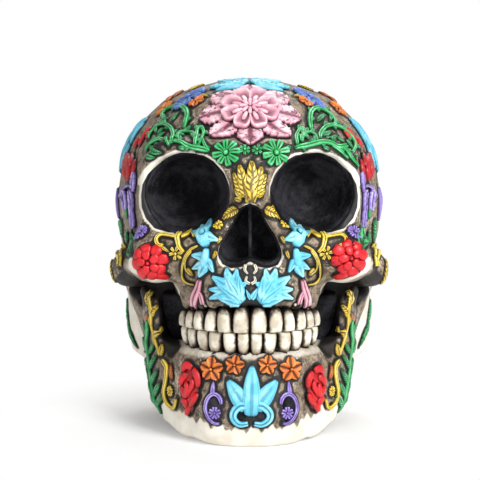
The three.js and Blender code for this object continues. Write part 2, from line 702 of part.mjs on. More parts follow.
const crownSeat = seatOn(craniumField, [13, -23, 161.5]);
addPair("crown_leaf", CYAN, [
  leaf(crownSeat, [-3, 0], [-10, -3], 3),
  leaf(crownSeat, [-4, -1], [9, 1], 3.6),
  leaf(crownSeat, [-1, 0], [1, 9], 3),
]);
addPair("blue_flower", BLUE, [
  flower(seatOn(craniumField, [29, -24, 156]), {
    reach: round(BLUE_FLOWER_RADIUS), petals: 5, rise: FLOWER_RISE,
  }),
]);
const vineSeat = seatOn(craniumField, [31, -48, 145], SINK);
addPiece("brow_vine_left", joined(vine(vineSeat, [
  [[-28, -15], [-23.5, -15.5], [-18.5, -16], [-14, -16], [-9.5, -15.5]],
  [[-9.5, -15], [1.5, -7], [7, -3], [15, -0.5], [21.5, -1], [23.5, -4], [23, -8]],
  [[-5, -7.5], [-2, 0.5], [2, 5.5], [8.5, 9], [16, 10.5], [22.5, 10.5], [24, 7.5], [18, 3.5]],
  [[-10.5, -14.5], [-4, -8], [-5.5, -6], [-11.5, -7], [-16.5, -9]],
  [[-21.5, -15.5], [-18.5, -11], [-12.5, -4.5], [-15.5, -4], [-22, -11], [-22.5, -14.5]],
], [
  [[16, -1], [11.5, -6], 1.8], [[8.5, 9], [9, 3], 1.8],
]).map(mirrored), craniumGlue), GREEN);
addPiece("brow_vine_right", joined(vine(vineSeat, [
  [[-27, -14.5], [-22.5, -14.5], [-17.5, -15.5], [-13, -16], [-9.5, -15.5]],
  [[-13, -15.5], [-3, -7.5], [3.5, -3.5], [11.5, -1.5], [19, -1.5], [25, -4], [27, -9]],
  [[-8.5, -6.5], [-4, 1], [1, 6], [8, 9.5], [14, 9], [17, 6], [16.5, 2], [12, -1]],
  [[-20.5, -11.5], [-15, -8.5], [-9, -7.5], [-10.5, -11.5], [-14, -15]],
  [[-25, -14], [-21, -9], [-14, -3.5], [-11, -4.5], [-15.5, -8.5], [-21, -13.5]],
], [
  [[16, -1.8], [13, -7.5], 1.8], [[8, 9.5], [7, 3.5], 1.8],
]), craniumGlue), GREEN);
addPair("brow_flower", GREEN, [
  flower(seatOn(craniumField, [10.6, -78, 132.4], -LIFT), {
    reach: round(BROW_FLOWER_RADIUS), petals: 8, rise: 0.8 * FLOWER_RISE, pointed: true,
  }),
]);
const fanSeat = seatOn(craniumField, [0, -83, 117], SINK);
addPiece("gold_leaf_fan", joined([
  leaf(fanSeat, [0, -8], [0, 10.5], 2.6),
  leaf(fanSeat, [0.8, -7], [5.6, 8], 2.4),
  leaf(fanSeat, [-0.8, -7], [-5.6, 8], 2.4),
  leaf(fanSeat, [1, -7], [6.8, 2], 2),
  leaf(fanSeat, [-1, -7], [-6.8, 2], 2),
], craniumGlue), GOLD);

// Cheeks and upper lip
const bellSeat = seatOn(craniumField, [19.5, -76, 91.5], SINK);
addPair("cheek_bell", CYAN, [
  leaf(bellSeat, [2, -5], [-3.2, 6], 3),
  leaf(bellSeat, [2, -5], [2.4, 3.4], 2.6),
  leaf(bellSeat, [2, -5], [-4.4, 0.4], 2.4),
  stem(bellSeat, [[2, -3], [2.4, -9], [0, -14], [-2.5, -16]]),
], craniumGlue);
const scrollSeat = seatOn(craniumField, [30, -74, 86.5], SINK);
addPair("cheek_scroll", GOLD, [
  stem(scrollSeat, [[12, 7.4], [7, 4.6], [1, 2.4], [-3, -3], [-2.6, -9], [2, -11.5], [5, -9]]),
], craniumGlue);
addPair("cheek_rose", RED, [
  flower(seatOn(craniumField, [45.6, -69.6, 82.4], -LIFT), {
    reach: round(CHEEK_ROSE_RADIUS), petals: 8, rise: FLOWER_RISE,
  }),
]);
const dropSeat = seatOn(craniumField, [26, -69, 67.6]);
addPair("pink_drop", PINK, [leaf(dropSeat, [-0.5, 5], [0.5, -5.4], 3.2)]);
const acanthusSeat = seatOn(craniumField, [10, -80.3, 72], SINK);
addPair("acanthus", CYAN, [
  leaf(acanthusSeat, [-6.8, -6], [-4.6, 7], 2.4),
  leaf(acanthusSeat, [-6.4, -6.4], [2.6, 8.6], 3.2),
  leaf(acanthusSeat, [-6, -6.8], [8.8, 4], 3.2),
  leaf(acanthusSeat, [-6, -7], [8.2, -4.4], 3),
  flower(acanthusSeat, { at: [-4.6, -4.4], reach: round(3), petals: 4, rise: LEAF_RISE, notch: 0.06 }),
], craniumGlue);

// Temples and arches
const featherSeat = seatOn(craniumField, [54, -14, 138]);
addPair("temple_feather", CYAN, [
  leaf(featherSeat, [-10, 2], [9, 4], 3),
  leaf(featherSeat, [-8, 1], [9, -3], 3),
  leaf(featherSeat, [-8, 3], [5, 10], 2.6),
]);
addPair("temple_rose", RED, [
  flower(seatOn(craniumField, [57, -22, 122], -LIFT), {
    reach: round(TEMPLE_ROSE_RADIUS), petals: 6, rise: FLOWER_RISE,
  }),
]);
const irisSeat = seatOn(craniumField, [60, -16, 104]);
addPair("temple_iris", PURPLE, [
  leaf(irisSeat, [0, -7], [0, 8], 3.2),
  leaf(irisSeat, [0, -5], [-6, 5], 2.6),
  leaf(irisSeat, [0, -5], [6, 5], 2.6),
  leaf(irisSeat, [0, -2], [0, -9], 2.2),
]);
const templeLeafSeat = seatOn(craniumField, [60, -12, 88], SINK);
addPair("temple_leaf", GREEN, [
  leaf(templeLeafSeat, [0, -4], [-4, 5], 2.4),
  leaf(templeLeafSeat, [0, -4], [4, 5], 2.4),
], craniumGlue);
const archSeat = seatOn(craniumField, [64, -20, 74], -LIFT);
addPair("arch_leaf", GOLD, [
  leaf(archSeat, [2, 0], [-9, 1], 2.8),
  leaf(archSeat, [-1, 0], [9, 1], 2.8),
]);

// Jaw
const ramusSeat = seatOn(jawField, [53, -15, 41.7], -LIFT);
addPair("ramus_vine", GREEN, [
  stem(ramusSeat, [[0, 13], [1, 5], [-2, -4], [-7, -11], [-13, -17]]),
  leaf(ramusSeat, [1, 5], [-7, 7], 2.2),
  leaf(ramusSeat, [-1, -2], [5, -7], 2.2),
  leaf(ramusSeat, [-4, -7], [-12, -5], 2.2),
  leaf(ramusSeat, [0, 12], [-6, 15], 2),
]);
const ramusEdgeSeat = seatOn(jawField, [45.5, -42, 52]);
addPair("ramus_stem", GOLD, [stem(ramusEdgeSeat, [[1.5, 9], [0.5, 3], [-0.5, -4], [-2, -10]])]);
addPair("chin_rose", RED, [
  flower(seatOn(jawField, [29.4, -68.6, 22.4], SINK), {
    reach: [CHIN_ROSE_WIDTH / 2, CHIN_ROSE_HEIGHT / 2], petals: 6, rise: FLOWER_RISE, notch: 0.14,
  }),
], jawGlue);
addPair("chin_star_outer", ORANGE, [
  flower(seatOn(jawField, [18, -76.5, 34]), {
    reach: round(CHIN_STAR_RADIUS), petals: 5, rise: 0.7 * FLOWER_RISE, notch: 0.4, pointed: true,
  }),
]);
addPair("chin_star_inner", ORANGE, [
  flower(seatOn(jawField, [7.8, -79.6, 35]), {
    reach: round(CHIN_STAR_RADIUS), petals: 5, rise: 0.7 * FLOWER_RISE, notch: 0.4, pointed: true,
  }),
]);
const chinDropSeat = seatOn(jawField, [17, -79.5, 18], -LIFT);
addPair("chin_drop", PURPLE, [leaf(chinDropSeat, [-0.4, 8], [0.4, -8.5], 3)]);
const hookSeat = seatOn(jawField, [37, -58, 19.5]);
addPair("chin_hook", GOLD, [stem(hookSeat, [[1, 9], [-1.6, 3], [-1.6, -4], [2, -7], [4.6, -4]])]);
const lilySeat = seatOn(jawField, [0, -81.9, 20.8], SINK);
addPiece("chin_lily", joined([
  leaf(lilySeat, [0, -9], [0, 14.5], 5),
  leaf(lilySeat, [1, -7], [10.4, 8], 4),
  leaf(lilySeat, [-1, -7], [-10.4, 8], 4),
  stem(lilySeat, [[1, -6], [6, -3.5], [9.6, -6], [7, -10], [2, -10]]),
  stem(lilySeat, [[-1, -6], [-6, -3.5], [-9.6, -6], [-7, -10], [-2, -10]]),
], jawGlue), CYAN);

// Sides and back
const parietalSpot = [57, 50, 106];
addPair("parietal_rose", RED, [
  flower(seatOn(craniumField, parietalSpot), {
    reach: round(PARIETAL_ROSE_RADIUS), petals: 6, rise: FLOWER_RISE,
  }),
]);
const scrollStart = PARIETAL_ROSE_RADIUS + STEM_HALF_WIDTH + 1.5;
const scrolls = [-1, 1].flatMap((side) => [
  [[side * scrollStart, -4], [side * 21, 2], [side * 24, 14], [side * 18, 24], [side * 9, 25],
    [side * 6, 19]],
  [[side * 5, -scrollStart], [side * 13, -21], [side * 16, -31], [side * 10, -38], [side * 4, -35]],
]);
addPair("parietal_vine", GREEN, vine(seatOn(craniumField, parietalSpot, SINK), [
  [[-scrollStart, -4], [-9.5, -9], [0, -scrollStart], [9.5, -9], [scrollStart, -4]], ...scrolls,
], [
  [[0, -scrollStart], [0, -30], 2.4],
  [[23, 7], [33, 13], 2.4], [[22, 19], [28, 30], 2.4], [[15, -25], [26, -29], 2.4],
  [[-23, 7], [-15, 11], 2.4], [[-20, 22], [-22, 33], 2.4], [[-15, -25], [-21, -34], 2.4],
]), craniumGlue);
addPiece("back_dahlia", flower(seatOn(craniumField, [0, 84, 110], -LIFT), {
  reach: round(BACK_DAHLIA_RADIUS), petals: 10, rise: 1.3 * FLOWER_RISE, pointed: true,
}), PINK);

// The frame: the middle of the whole object's length at y = 0, and the table at z = 0
const bounds = new THREE.Box3().setFromObject(skull);
const middleY = (bounds.min.y + bounds.max.y) / 2;
for (const mesh of skull.children) mesh.geometry.translate(0, -middleY, -TABLE_Z);

export default skull;
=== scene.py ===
import math

import bpy
from mathutils import Matrix, Vector
from mathutils.bvhtree import BVHTree


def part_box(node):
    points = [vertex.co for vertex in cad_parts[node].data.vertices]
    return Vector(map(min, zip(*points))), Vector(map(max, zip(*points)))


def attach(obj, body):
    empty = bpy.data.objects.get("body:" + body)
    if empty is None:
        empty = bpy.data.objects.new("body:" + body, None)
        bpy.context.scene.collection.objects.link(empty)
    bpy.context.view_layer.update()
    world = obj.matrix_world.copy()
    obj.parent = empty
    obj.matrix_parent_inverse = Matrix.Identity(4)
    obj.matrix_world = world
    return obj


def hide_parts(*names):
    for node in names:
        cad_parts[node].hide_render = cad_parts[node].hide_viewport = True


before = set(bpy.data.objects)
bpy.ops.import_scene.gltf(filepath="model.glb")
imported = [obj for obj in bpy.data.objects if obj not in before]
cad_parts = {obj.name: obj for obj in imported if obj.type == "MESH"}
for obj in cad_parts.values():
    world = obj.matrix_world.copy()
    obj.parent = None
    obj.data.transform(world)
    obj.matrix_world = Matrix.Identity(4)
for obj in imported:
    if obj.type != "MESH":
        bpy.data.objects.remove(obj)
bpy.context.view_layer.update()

# Camera. It stands straight before the face, a little above the bite, with a long lens.
# The picture is 480 by 480, and its middle looks at a point in front of the nose bridge.
picture_side = 480
picture_middle = picture_side / 2
pixels_per_unit = 1774
look_at = Vector((-0.0045, -0.08327, 0.0962))
look_tilt = math.radians(6)
look_distance = 0.8
look_from = look_at + look_distance * Vector((0, -math.cos(look_tilt), math.sin(look_tilt)))
look_ahead = (look_at - look_from).normalized()
look_up = Vector((0, math.sin(look_tilt), math.cos(look_tilt)))
bpy.ops.object.select_all(action="DESELECT")
bpy.ops.object.camera_add(location=look_from, rotation=(math.radians(90) - look_tilt, 0, 0))
camera = bpy.context.object
camera.data.sensor_width = 36
camera.data.lens = camera.data.sensor_width * pixels_per_unit / picture_side
bpy.context.scene.camera = camera
bpy.context.scene.view_settings.view_transform = "Standard"


# Table and studio light. A white paper sweep that keeps the soft shadow under the jaw, a big
# soft lamp at the right, weaker ones at the left and above, and white paper all round.
class Wire:
    """An output of a material's nodes. Sums on it add Math nodes to that material."""

    def __init__(self, socket):
        self.socket = socket

    def node(self, kind, settings=None, values=None, out=0):
        made = self.socket.id_data.nodes.new(kind)
        for key, value in (settings or {}).items():
            setattr(made, key, value)
        for key, value in (values or {}).items():
            feed(made.inputs[key], value)
        return Wire(made.outputs[out])

    def twin(self, out):
        """Another output of the same node."""
        return Wire(self.socket.node.outputs[out])

    def sum(self, operation, *values):
        return self.node("ShaderNodeMath", {"operation": operation}, dict(enumerate(values)))

    def alone(self, operation):
        return self.sum(operation, self)

    def either(self, other):
        return self.sum("MAXIMUM", self, other)

    def __add__(self, other):
        return self.sum("ADD", self, other)

    def __sub__(self, other):
        return self.sum("SUBTRACT", self, other)

    def __rsub__(self, other):
        return self.sum("SUBTRACT", other, self)

    def __mul__(self, other):
        return self.sum("MULTIPLY", self, other)

    __radd__ = __add__
    __rmul__ = __mul__

    def fade(self, low, high):
        """0 below low, 1 above high, smooth between them."""
        return self.node("ShaderNodeMapRange", {"interpolation_type": "SMOOTHSTEP"},
                         {0: self, 1: low, 2: high})

    def tint(self, under, over):
        """The colour over laid on the colour under, as thickly as this value."""
        return self.node("ShaderNodeMix", {"data_type": "RGBA"}, {0: self, 6: under, 7: over}, 2)

    def grain(self, scale, detail=3, rough=0.55):
        return self.node("ShaderNodeTexNoise", {},
                         {"Vector": self, "Scale": scale, "Detail": detail, "Roughness": rough})

    def mark(self, name):
        """A value that was marked on the points of the mesh."""
        return self.node("ShaderNodeAttribute", {"attribute_name": name}, {}, "Fac")

    def bump(self, strength, distance):
        return self.node("ShaderNodeBump", {},
                         {"Strength": strength, "Distance": distance, "Height": self})


def feed(socket, value):
    if isinstance(value, Wire):
        socket.id_data.links.new(value.socket, socket)
    else:
        socket.default_value = value


def colour(code):
    """A colour written as on a paint chart, such as d9cdb4, in the light's own scale."""
    parts = [int(code[i:i + 2], 16) / 255 for i in (0, 2, 4)]
    return tuple(c / 12.92 if c < 0.04 else ((c + 0.055) / 1.055) ** 2.4 for c in parts) + (1.0,)


def new_paint(name):
    material = bpy.data.materials.new(name)
    material.use_nodes = True
    shader = material.node_tree.nodes["Principled BSDF"]
    place = Wire(material.node_tree.nodes.new("ShaderNodeTexCoord").outputs["Object"])
    return material, shader, place


def white_paper(shadow_from, shadow_to):
    """White paper that blends to the bright room where the skull's shadow ends."""
    material, shader, place = new_paint("white_paper")
    feed(shader.inputs["Base Color"], place.grain(6).fade(0.2, 0.8).tint(
        colour("f7f6f6"), colour("fbfbfb")))
    shader.inputs["Roughness"].default_value = 0.7
    shader.inputs["Specular IOR Level"].default_value = 0.1
    glow = place.node("ShaderNodeEmission", {}, {"Color": (1, 1, 1, 1), "Strength": 1.0})
    far = place.node("ShaderNodeVectorMath", {"operation": "LENGTH"}, {0: place}, "Value")
    sight = place.node("ShaderNodeLightPath", {}, {}, "Is Camera Ray")
    blend = place.node("ShaderNodeMixShader", {}, {
        0: far.fade(shadow_from, shadow_to) * sight, 1: Wire(shader.outputs[0]), 2: glow})
    feed(material.node_tree.nodes["Material Output"].inputs["Surface"], blend)
    return material


bpy.ops.mesh.primitive_grid_add(x_subdivisions=8, y_subdivisions=8, size=8)
table = bpy.context.object
table.name = "table"
table.data.materials.append(white_paper(shadow_from=0.03, shadow_to=0.125))

room_light = 0.43
world = bpy.data.worlds.new("paper_room")
bpy.context.scene.world = world
world.use_nodes = True
air = world.node_tree.nodes["Background"]
rays = Wire(world.node_tree.nodes.new("ShaderNodeLightPath").outputs["Is Camera Ray"])
seen = rays.either(rays.twin("Is Transmission Ray"))
air.inputs["Color"].default_value = (1, 1, 1, 1)
feed(air.inputs["Strength"], seen * (1 - room_light) + room_light)

key_lamp = dict(place=(0.62, -0.95, 0.72), aim=(0.02, -0.05, 0.09), side=0.45, watts=17.0)
left_lamp = dict(place=(-0.75, -0.75, 0.45), aim=(-0.02, -0.05, 0.08), side=0.4, watts=1.6)
top_lamp = dict(place=(0.1, 0.55, 1.0), aim=(0, 0, 0.1), side=0.6, watts=5.0)
for lamp in (key_lamp, left_lamp, top_lamp):
    turn = (Vector(lamp["aim"]) - Vector(lamp["place"])).to_track_quat("-Z", "Y").to_euler()
    bpy.ops.object.light_add(type="AREA", location=lamp["place"], rotation=turn)
    bpy.context.object.data.size = lamp["side"]
    bpy.context.object.data.energy = lamp["watts"]

# Bone: cranium and jaw. Cast resin, sanded smooth, the two castings glued into one. Here each
# is the solid's own form with its facets worked away, and its gum swells over the tooth roots.
mm = 0.001
bite_height = 0.0530
tooth_arch_middle = -0.04127
# A tooth row is its arch's half width and length, then the widths of its teeth in millimetres.
upper_row = (0.031, 0.036, (7.4, 6.8, 6.4, 6.4, 6.6, 7.0))
lower_row = (0.030, 0.034, (5.4, 6.2, 6.6, 6.8, 6.8, 7.0))
upper_heights = (12.0, 11.2, 10.2, 9.2, 8.4, 7.6)
lower_heights = (10.2, 10.2, 10.0, 9.8, 9.2, 8.6)
root_depth = 0.0044
root_height = 0.0065
# The cranium's sides are drawn in at one height, where the picture's outline is narrower.
drawn_in_share = 0.055
drawn_in_height = 0.152
drawn_in_reach = 0.009


def work_on(piece):
    bpy.ops.object.select_all(action="DESELECT")
    piece.select_set(True)
    bpy.context.view_layer.objects.active = piece


def apply(piece, kind, **settings):
    work_on(piece)
    bpy.ops.object.modifier_add(type=kind)
    modifier = piece.modifiers[-1]
    for key, value in settings.items():
        setattr(modifier, key, value)
    bpy.ops.object.modifier_apply(modifier=modifier.name)


def join(pieces):
    """Makes several pieces one mesh, which keeps the name of the first."""
    work_on(pieces[0])
    for one in pieces:
        one.select_set(True)
    bpy.ops.object.join()
    return bpy.context.object


def casting(name, node, voxel, passes, roots=()):
    """A solid's own form with its facets worked smooth."""
    piece = bpy.data.objects.new(name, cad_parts[node].data.copy())
    bpy.context.collection.objects.link(piece)
    work_on(piece)
    bpy.ops.object.mode_set(mode="EDIT")
    bpy.ops.mesh.select_all(action="SELECT")
    bpy.ops.mesh.remove_doubles(threshold=1e-6)
    bpy.ops.object.mode_set(mode="OBJECT")
    if roots:
        add_roots(piece, *roots)
    apply(piece, "REMESH", mode="VOXEL", voxel_size=voxel)
    apply(piece, "SMOOTH", factor=0.5, iterations=passes)
    bpy.ops.object.shade_smooth()
    piece.data.materials.clear()
    return piece


def tooth_places(half_width, length, widths):
    """Along a tooth row, from the middle to the back on each side: place, facing and width."""
    for side in (1, -1):
        angle = 0.0
        for i, width in enumerate(widths):
            half = width * mm / 2 / math.hypot(half_width * math.cos(angle), length * math.sin(angle))
            middle = angle + half
            angle += 2 * half
            ahead = tooth_arch_middle - length * math.cos(middle)
            spot = Vector((side * half_width * math.sin(middle), ahead, 0))
            facing = side * math.atan2(length * math.sin(middle), half_width * math.cos(middle))
            yield i, spot, facing, width * mm


def add_roots(bone, row, heights, up):
    """Swells the gum edge over each tooth's root, before the casting is worked smooth."""
    made = [bone]
    for i, spot, facing, width in tooth_places(*row):
        height = bite_height + up * (heights[i] * mm * 0.9 + root_height)
        bpy.ops.object.select_all(action="DESELECT")
        bpy.ops.mesh.primitive_uv_sphere_add(
            segments=16, ring_count=10, radius=1, location=spot + Vector((0, 0, height)),
            rotation=(0, 0, facing), scale=(width / 2, root_depth, root_height))
        bpy.ops.object.transform_apply()
        made.append(bpy.context.object)
    join(made)


def settle(piece, slot, *nodes):
    """Hides the solids that a piece stands for and fixes the piece to the skull. The finish given as slot is
    not used.
    """
    if nodes:
        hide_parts(*nodes)
    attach(piece, "root")


cranium = casting("bone_cranium", "cranium", voxel=0.0012, passes=10, roots=(upper_row, upper_heights, 1))
jaw = casting("bone_jaw", "mandible", voxel=0.0011, passes=8, roots=(lower_row, lower_heights, -1))
for v in cranium.data.vertices:
    v.co.x *= 1 - drawn_in_share * math.exp(-((v.co.z - drawn_in_height) / drawn_in_reach) ** 2)
settle(cranium, "bone", "cranium")
settle(jaw, "bone", "mandible")

# Black bowls. Thin cups of satin black lacquered resin set in the eye sockets and the nose,
# and the black web in the throat that carries the jaw.
bowl_swell = 1.07


def lacquer():
    material, shader, place = new_paint("black_lacquer")
    cloud = place.grain(55, detail=6, rough=0.7)
    feed(shader.inputs["Base Color"], cloud.fade(0.42, 0.62).tint(
        colour("1b1a1d"), colour("39383d")))
    feed(shader.inputs["Roughness"], place.grain(160).fade(0.2, 0.8) * 0.3 + 0.55)
    shader.inputs["Specular IOR Level"].default_value = 0.07
    feed(shader.inputs["Normal"], place.grain(110, detail=5, rough=0.65).bump(strength=1.0, distance=0.004))
    return material


black_lacquer = lacquer()
for name, node, voxel, passes, set_back in (
    ("eye_bowl_left", "eye_cup_left", 0.0008, 36, 0.003),
    ("eye_bowl_right", "eye_cup_right", 0.0008, 36, 0.003),
    ("nose_bowl", "nose_cup", 0.0006, 6, 0.004),
    ("throat_block", "throat_web", 0.0014, 4, 0),
):
    bowl = casting(name, node, voxel, passes)
    if set_back:
        low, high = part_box(node)
        bottom = Matrix.Translation(((low[0] + high[0]) / 2, high[1], (low[2] + high[2]) / 2))
        swell = Matrix.Diagonal((bowl_swell, 1 - set_back / (high[1] - low[1]), bowl_swell, 1))
        bowl.data.transform(bottom @ swell @ bottom.inverted())
    bowl.data.materials.append(black_lacquer)
    settle(bowl, "black_lacquer", node)

# Teeth. Two rows of ivory teeth, each cast as one strip and set in the gum edge. Brown wash
# lies between the teeth and at their roots, and the faces are wiped clean.
tooth_depth = 0.0098
tooth_overlap = 1.05
tooth_leans = (0, 2, -3, 3, -2, 2)
bite_gap = 0.00025


def ivory():
    material, shader, place = new_paint("tooth_ivory")
    blot = place.grain(380, detail=5, rough=0.65)
    stain = (place.mark("wiped") + blot * 0.9 - 0.6).fade(0.05, 0.95)
    body = place.grain(170).fade(0.35, 0.65).tint(colour("bdb29c"), colour("ece6d6"))
    brown = stain.fade(0.0, 0.45).tint(colour("1f1711"), colour("8f806b"))
    feed(shader.inputs["Base Color"], stain.fade(0.25, 0.85).tint(brown, body))
    feed(shader.inputs["Roughness"], blot * 0.2 + 0.3)
    feed(shader.inputs["Normal"], blot.bump(strength=0.3, distance=0.0003))
    return material


def tooth_pattern():
    """One tooth, 1 wide, 1 thick and 1 tall, its biting edge down and its root end rounded."""
    bpy.ops.object.select_all(action="DESELECT")
    bpy.ops.mesh.primitive_cube_add(size=1)
    piece = bpy.context.object
    bpy.ops.object.mode_set(mode="EDIT")
    bpy.ops.mesh.subdivide(number_cuts=5)
    bpy.ops.object.mode_set(mode="OBJECT")
    for v in piece.data.vertices:
        x, y, z = v.co
        up = z + 0.5
        neck = math.sqrt(max(0.0, 1 - max(0.0, (up - 0.4) / 0.66) ** 2.4))
        foot = 1 - 0.1 * max(0.0, (0.2 - up) / 0.2) ** 2
        bulge = (1 - 0.3 * (abs(x) / 0.5) ** 2.5) * (0.86 + 0.14 * math.sin(math.pi * min(1, up + 0.25)))
        v.co = (x * neck * foot, y * bulge * (0.7 + 0.3 * neck), z)
    apply(piece, "SUBSURF", levels=1, render_levels=1)
    bpy.ops.object.shade_smooth()
    return piece


def copy_of(piece):
    copy = piece.copy()
    copy.data = piece.data.copy()
    bpy.context.collection.objects.link(copy)
    return copy


def set_tooth(spot, facing, width, tall, lean, up):
    """A copy of the tooth in its place, with the part of its face marked that is wiped clean."""
    one = copy_of(tooth)
    wiped = one.data.attributes.new("wiped", "FLOAT", "POINT")
    turn = Matrix.Rotation(facing, 3, "Z")
    bite = spot + Vector((0, 0, bite_height + up * bite_gap))
    for v, mark in zip(one.data.vertices, wiped.data):
        x, y, z = v.co
        root = 1 - 0.8 * min(1, max(0, z + 0.1) / 0.6) ** 2
        mark.value = root * max(0, 1 - (abs(x) / (0.52 - 0.24 * max(0, z))) ** 4)
        rise = (z + 0.5) * tall
        v.co = bite + turn @ Vector((
            x * width * tooth_overlap + rise * math.sin(lean), y * tooth_depth, rise * up))
    return one


tooth = tooth_pattern()
tooth_ivory = ivory()
tooth_rows = []
for name, node, row, up, heights in (
    ("teeth_upper", "upper_teeth", upper_row, 1, upper_heights),
    ("teeth_lower", "lower_teeth", lower_row, -1, lower_heights),
):
    made = []
    for i, spot, facing, width in tooth_places(*row):
        lean = math.radians(tooth_leans[i] * up) * math.copysign(1, spot.x)
        made.append(set_tooth(spot, facing, width, heights[i] * mm, lean, up))
    strip = join(made)
    strip.name = name
    if up < 0:
        bpy.ops.object.mode_set(mode="EDIT")
        bpy.ops.mesh.select_all(action="SELECT")
        bpy.ops.mesh.flip_normals()
        bpy.ops.object.mode_set(mode="OBJECT")
    strip.data.materials.append(tooth_ivory)
    settle(strip, "tooth", node)
    tooth_rows.append(strip)
bpy.data.objects.remove(tooth)

# Forehead. A big pink dahlia of eight toothed leaves under a blossom with raised rims, blue
# flowers, orange stars and gold sprigs beside it, and cyan leaves behind it on the crown. Each
# is a cast resin relief, bent to the bone and glued on, painted in satin enamel over dark wash.
plain, veins, furrows, lines, crease, flecks = range(6)


def pattern(name, cut, along, across, profile):
    """A flat pattern that reliefs are pressed from: 1 long, 2 wide, foot sunk and top raised."""
    bpy.ops.object.select_all(action="DESELECT")
    bpy.ops.mesh.primitive_grid_add(x_subdivisions=along, y_subdivisions=across, size=2)
    piece = bpy.context.object
    piece.name = name
    for v in piece.data.vertices:
        s = (v.co.x + 1) / 2
        t = math.copysign(abs(v.co.y) ** 0.5, v.co.y)
        wide, high = profile(s, t)
        edge = abs(v.co.x) > 0.999 or abs(v.co.y) > 0.999
        v.co = (s, t * wide, -0.4 if edge else high)
    bpy.ops.object.mode_set(mode="EDIT")
    bpy.ops.mesh.select_mode(type="EDGE")
    bpy.ops.mesh.select_all(action="DESELECT")
    bpy.ops.mesh.select_non_manifold()
    bpy.ops.mesh.edge_face_add()
    bpy.ops.mesh.select_all(action="SELECT")
    bpy.ops.mesh.normals_make_consistent(inside=False)
    bpy.ops.object.mode_set(mode="OBJECT")
    return finish_pattern(piece, cut)


def finish_pattern(piece, cut):
    """Marks how high each point stands, and which kind of grooves is cut in the pattern."""
    crest = piece.data.attributes.new("crest", "FLOAT", "POINT")
    crest.data.foreach_set("value", [v.co.z for v in piece.data.vertices])
    kind = piece.data.attributes.new("cut", "FLOAT", "POINT")
    kind.data.foreach_set("value", [float(cut)] * len(piece.data.vertices))
    work_on(piece)
    bpy.ops.object.shade_smooth()
    return piece


def groove(t, depth):
    """The groove along the middle of a pattern."""
    return depth * (abs(t) < 0.1)


def leaf_profile(s, t):
    wide = max(0.04, 2.43 * s ** 0.5 * (1 - s) ** 0.85)
    return wide, (0.6 + 0.4 * (1 - t * t) - groove(t, 0.2)) * (0.6 + 0.4 * math.sin(math.pi * s))


def dart_profile(s, t):
    wide = max(0.03, min(1, 0.5 + 1.7 * s) * min(1, (1 - s) / 0.62) ** 0.85)
    return wide, 0.74 + 0.26 * (1 - t * t) - groove(t, 0.16)


def lobe_profile(s, t):
    wide = min(1, 0.6 + 0.7 * s) * max(0.03, 1 - (max(0, s - 0.55) / 0.45) ** 1.8) ** 0.75
    wide *= 1 - 0.24 * (s * 6.5 % 1) * (s > 0.35)
    return wide, 0.76 + 0.2 * abs(math.sin(2.5 * t)) - groove(t, 0.14)


def petal_profile(s, t):
    if s < 0.65:
        wide = 0.35 + 0.65 * math.sin(math.pi / 2 * s / 0.65)
    else:
        wide = math.sqrt(max(0, 1 - ((s - 0.65) / 0.36) ** 2))
    rim = max(abs(t) ** 3 / 0.5, (max(0, s - 0.35) / 0.52) ** 3)
    return wide, 0.2 + 0.8 * min(1, rim) * min(1, 3 * s)


def club_profile(s, t):
    wide = 0.4 + 0.6 * math.sin(math.pi / 2 * min(1, s / 0.75))
    wide *= math.sqrt(max(0, 1 - (max(0, s - 0.75) / 0.26) ** 2))
    return wide, (0.7 + 0.3 * (1 - t * t) - groove(t, 0.25)) * (0.7 + 0.3 * s)


def bulb_profile(s, t):
    wide = math.sqrt(max(0, 1 - (2 * s - 1) ** 2 * 0.98)) * (0.75 + 0.25 * s)
    swell = 0.55 + 0.45 * math.sin(math.pi * min(1, 0.15 + 0.8 * s))
    return wide, (0.4 + 0.6 * math.sqrt(max(0, 1 - t * t))) * swell


def star_profile(s, t):
    wide = max(0.03, min(1, 0.35 + 1.2 * s) * min(1, (1 - s) / 0.42) ** 0.6)
    return wide, (0.5 + 0.5 * abs(t) ** 1.5 - groove(t, 0.2)) * (0.8 + 0.2 * math.sin(math.pi * s))


def stem_profile(s, t):
    wide = min(1, 0.5 + 5 * s) * (1 - 0.5 * s * s)
    return wide, math.sqrt(max(0, 1 - t * t * 0.8)) - groove(t, 0.22)


def bead_pattern():
    bpy.ops.object.select_all(action="DESELECT")
    bpy.ops.mesh.primitive_uv_sphere_add(segments=12, ring_count=6, radius=1)
    piece = bpy.context.object
    bpy.ops.object.mode_set(mode="EDIT")
    bpy.ops.transform.resize(value=(1, 1, 0.9))
    bpy.ops.object.mode_set(mode="OBJECT")
    return finish_pattern(piece, plain)


leaf = pattern("leaf_pattern", veins, along=10, across=6, profile=leaf_profile)
blade = pattern("blade_pattern", lines, along=10, across=6, profile=leaf_profile)
dart = pattern("dart_pattern", lines, along=10, across=6, profile=dart_profile)
lobe = pattern("lobe_pattern", flecks, along=32, across=8, profile=lobe_profile)
petal = pattern("petal_pattern", plain, along=10, across=8, profile=petal_profile)
furrowed = pattern("furrowed_pattern", furrows, along=10, across=6, profile=club_profile)
club = pattern("club_pattern", crease, along=8, across=6, profile=club_profile)
bulb = pattern("bulb_pattern", plain, along=8, across=6, profile=bulb_profile)
star = pattern("star_pattern", crease, along=10, across=8, profile=star_profile)
stem = pattern("stem_pattern", crease, along=26, across=6, profile=stem_profile)
bead = bead_pattern()
patterns = [leaf, blade, dart, lobe, petal, furrowed, club, bulb, star, stem, bead]


def tree_of(*pieces):
    """The faces of pieces, ready for finding the nearest one or the one that a ray meets."""
    points, faces = [], []
    for piece in pieces:
        first = len(points)
        points += [v.co for v in piece.data.vertices]
        faces += [[first + i for i in p.vertices] for p in piece.data.polygons]
    return BVHTree.FromPolygons(points, faces)


bone_tree = tree_of(cranium, jaw)
far_behind = 0.3
far_above = 0.4


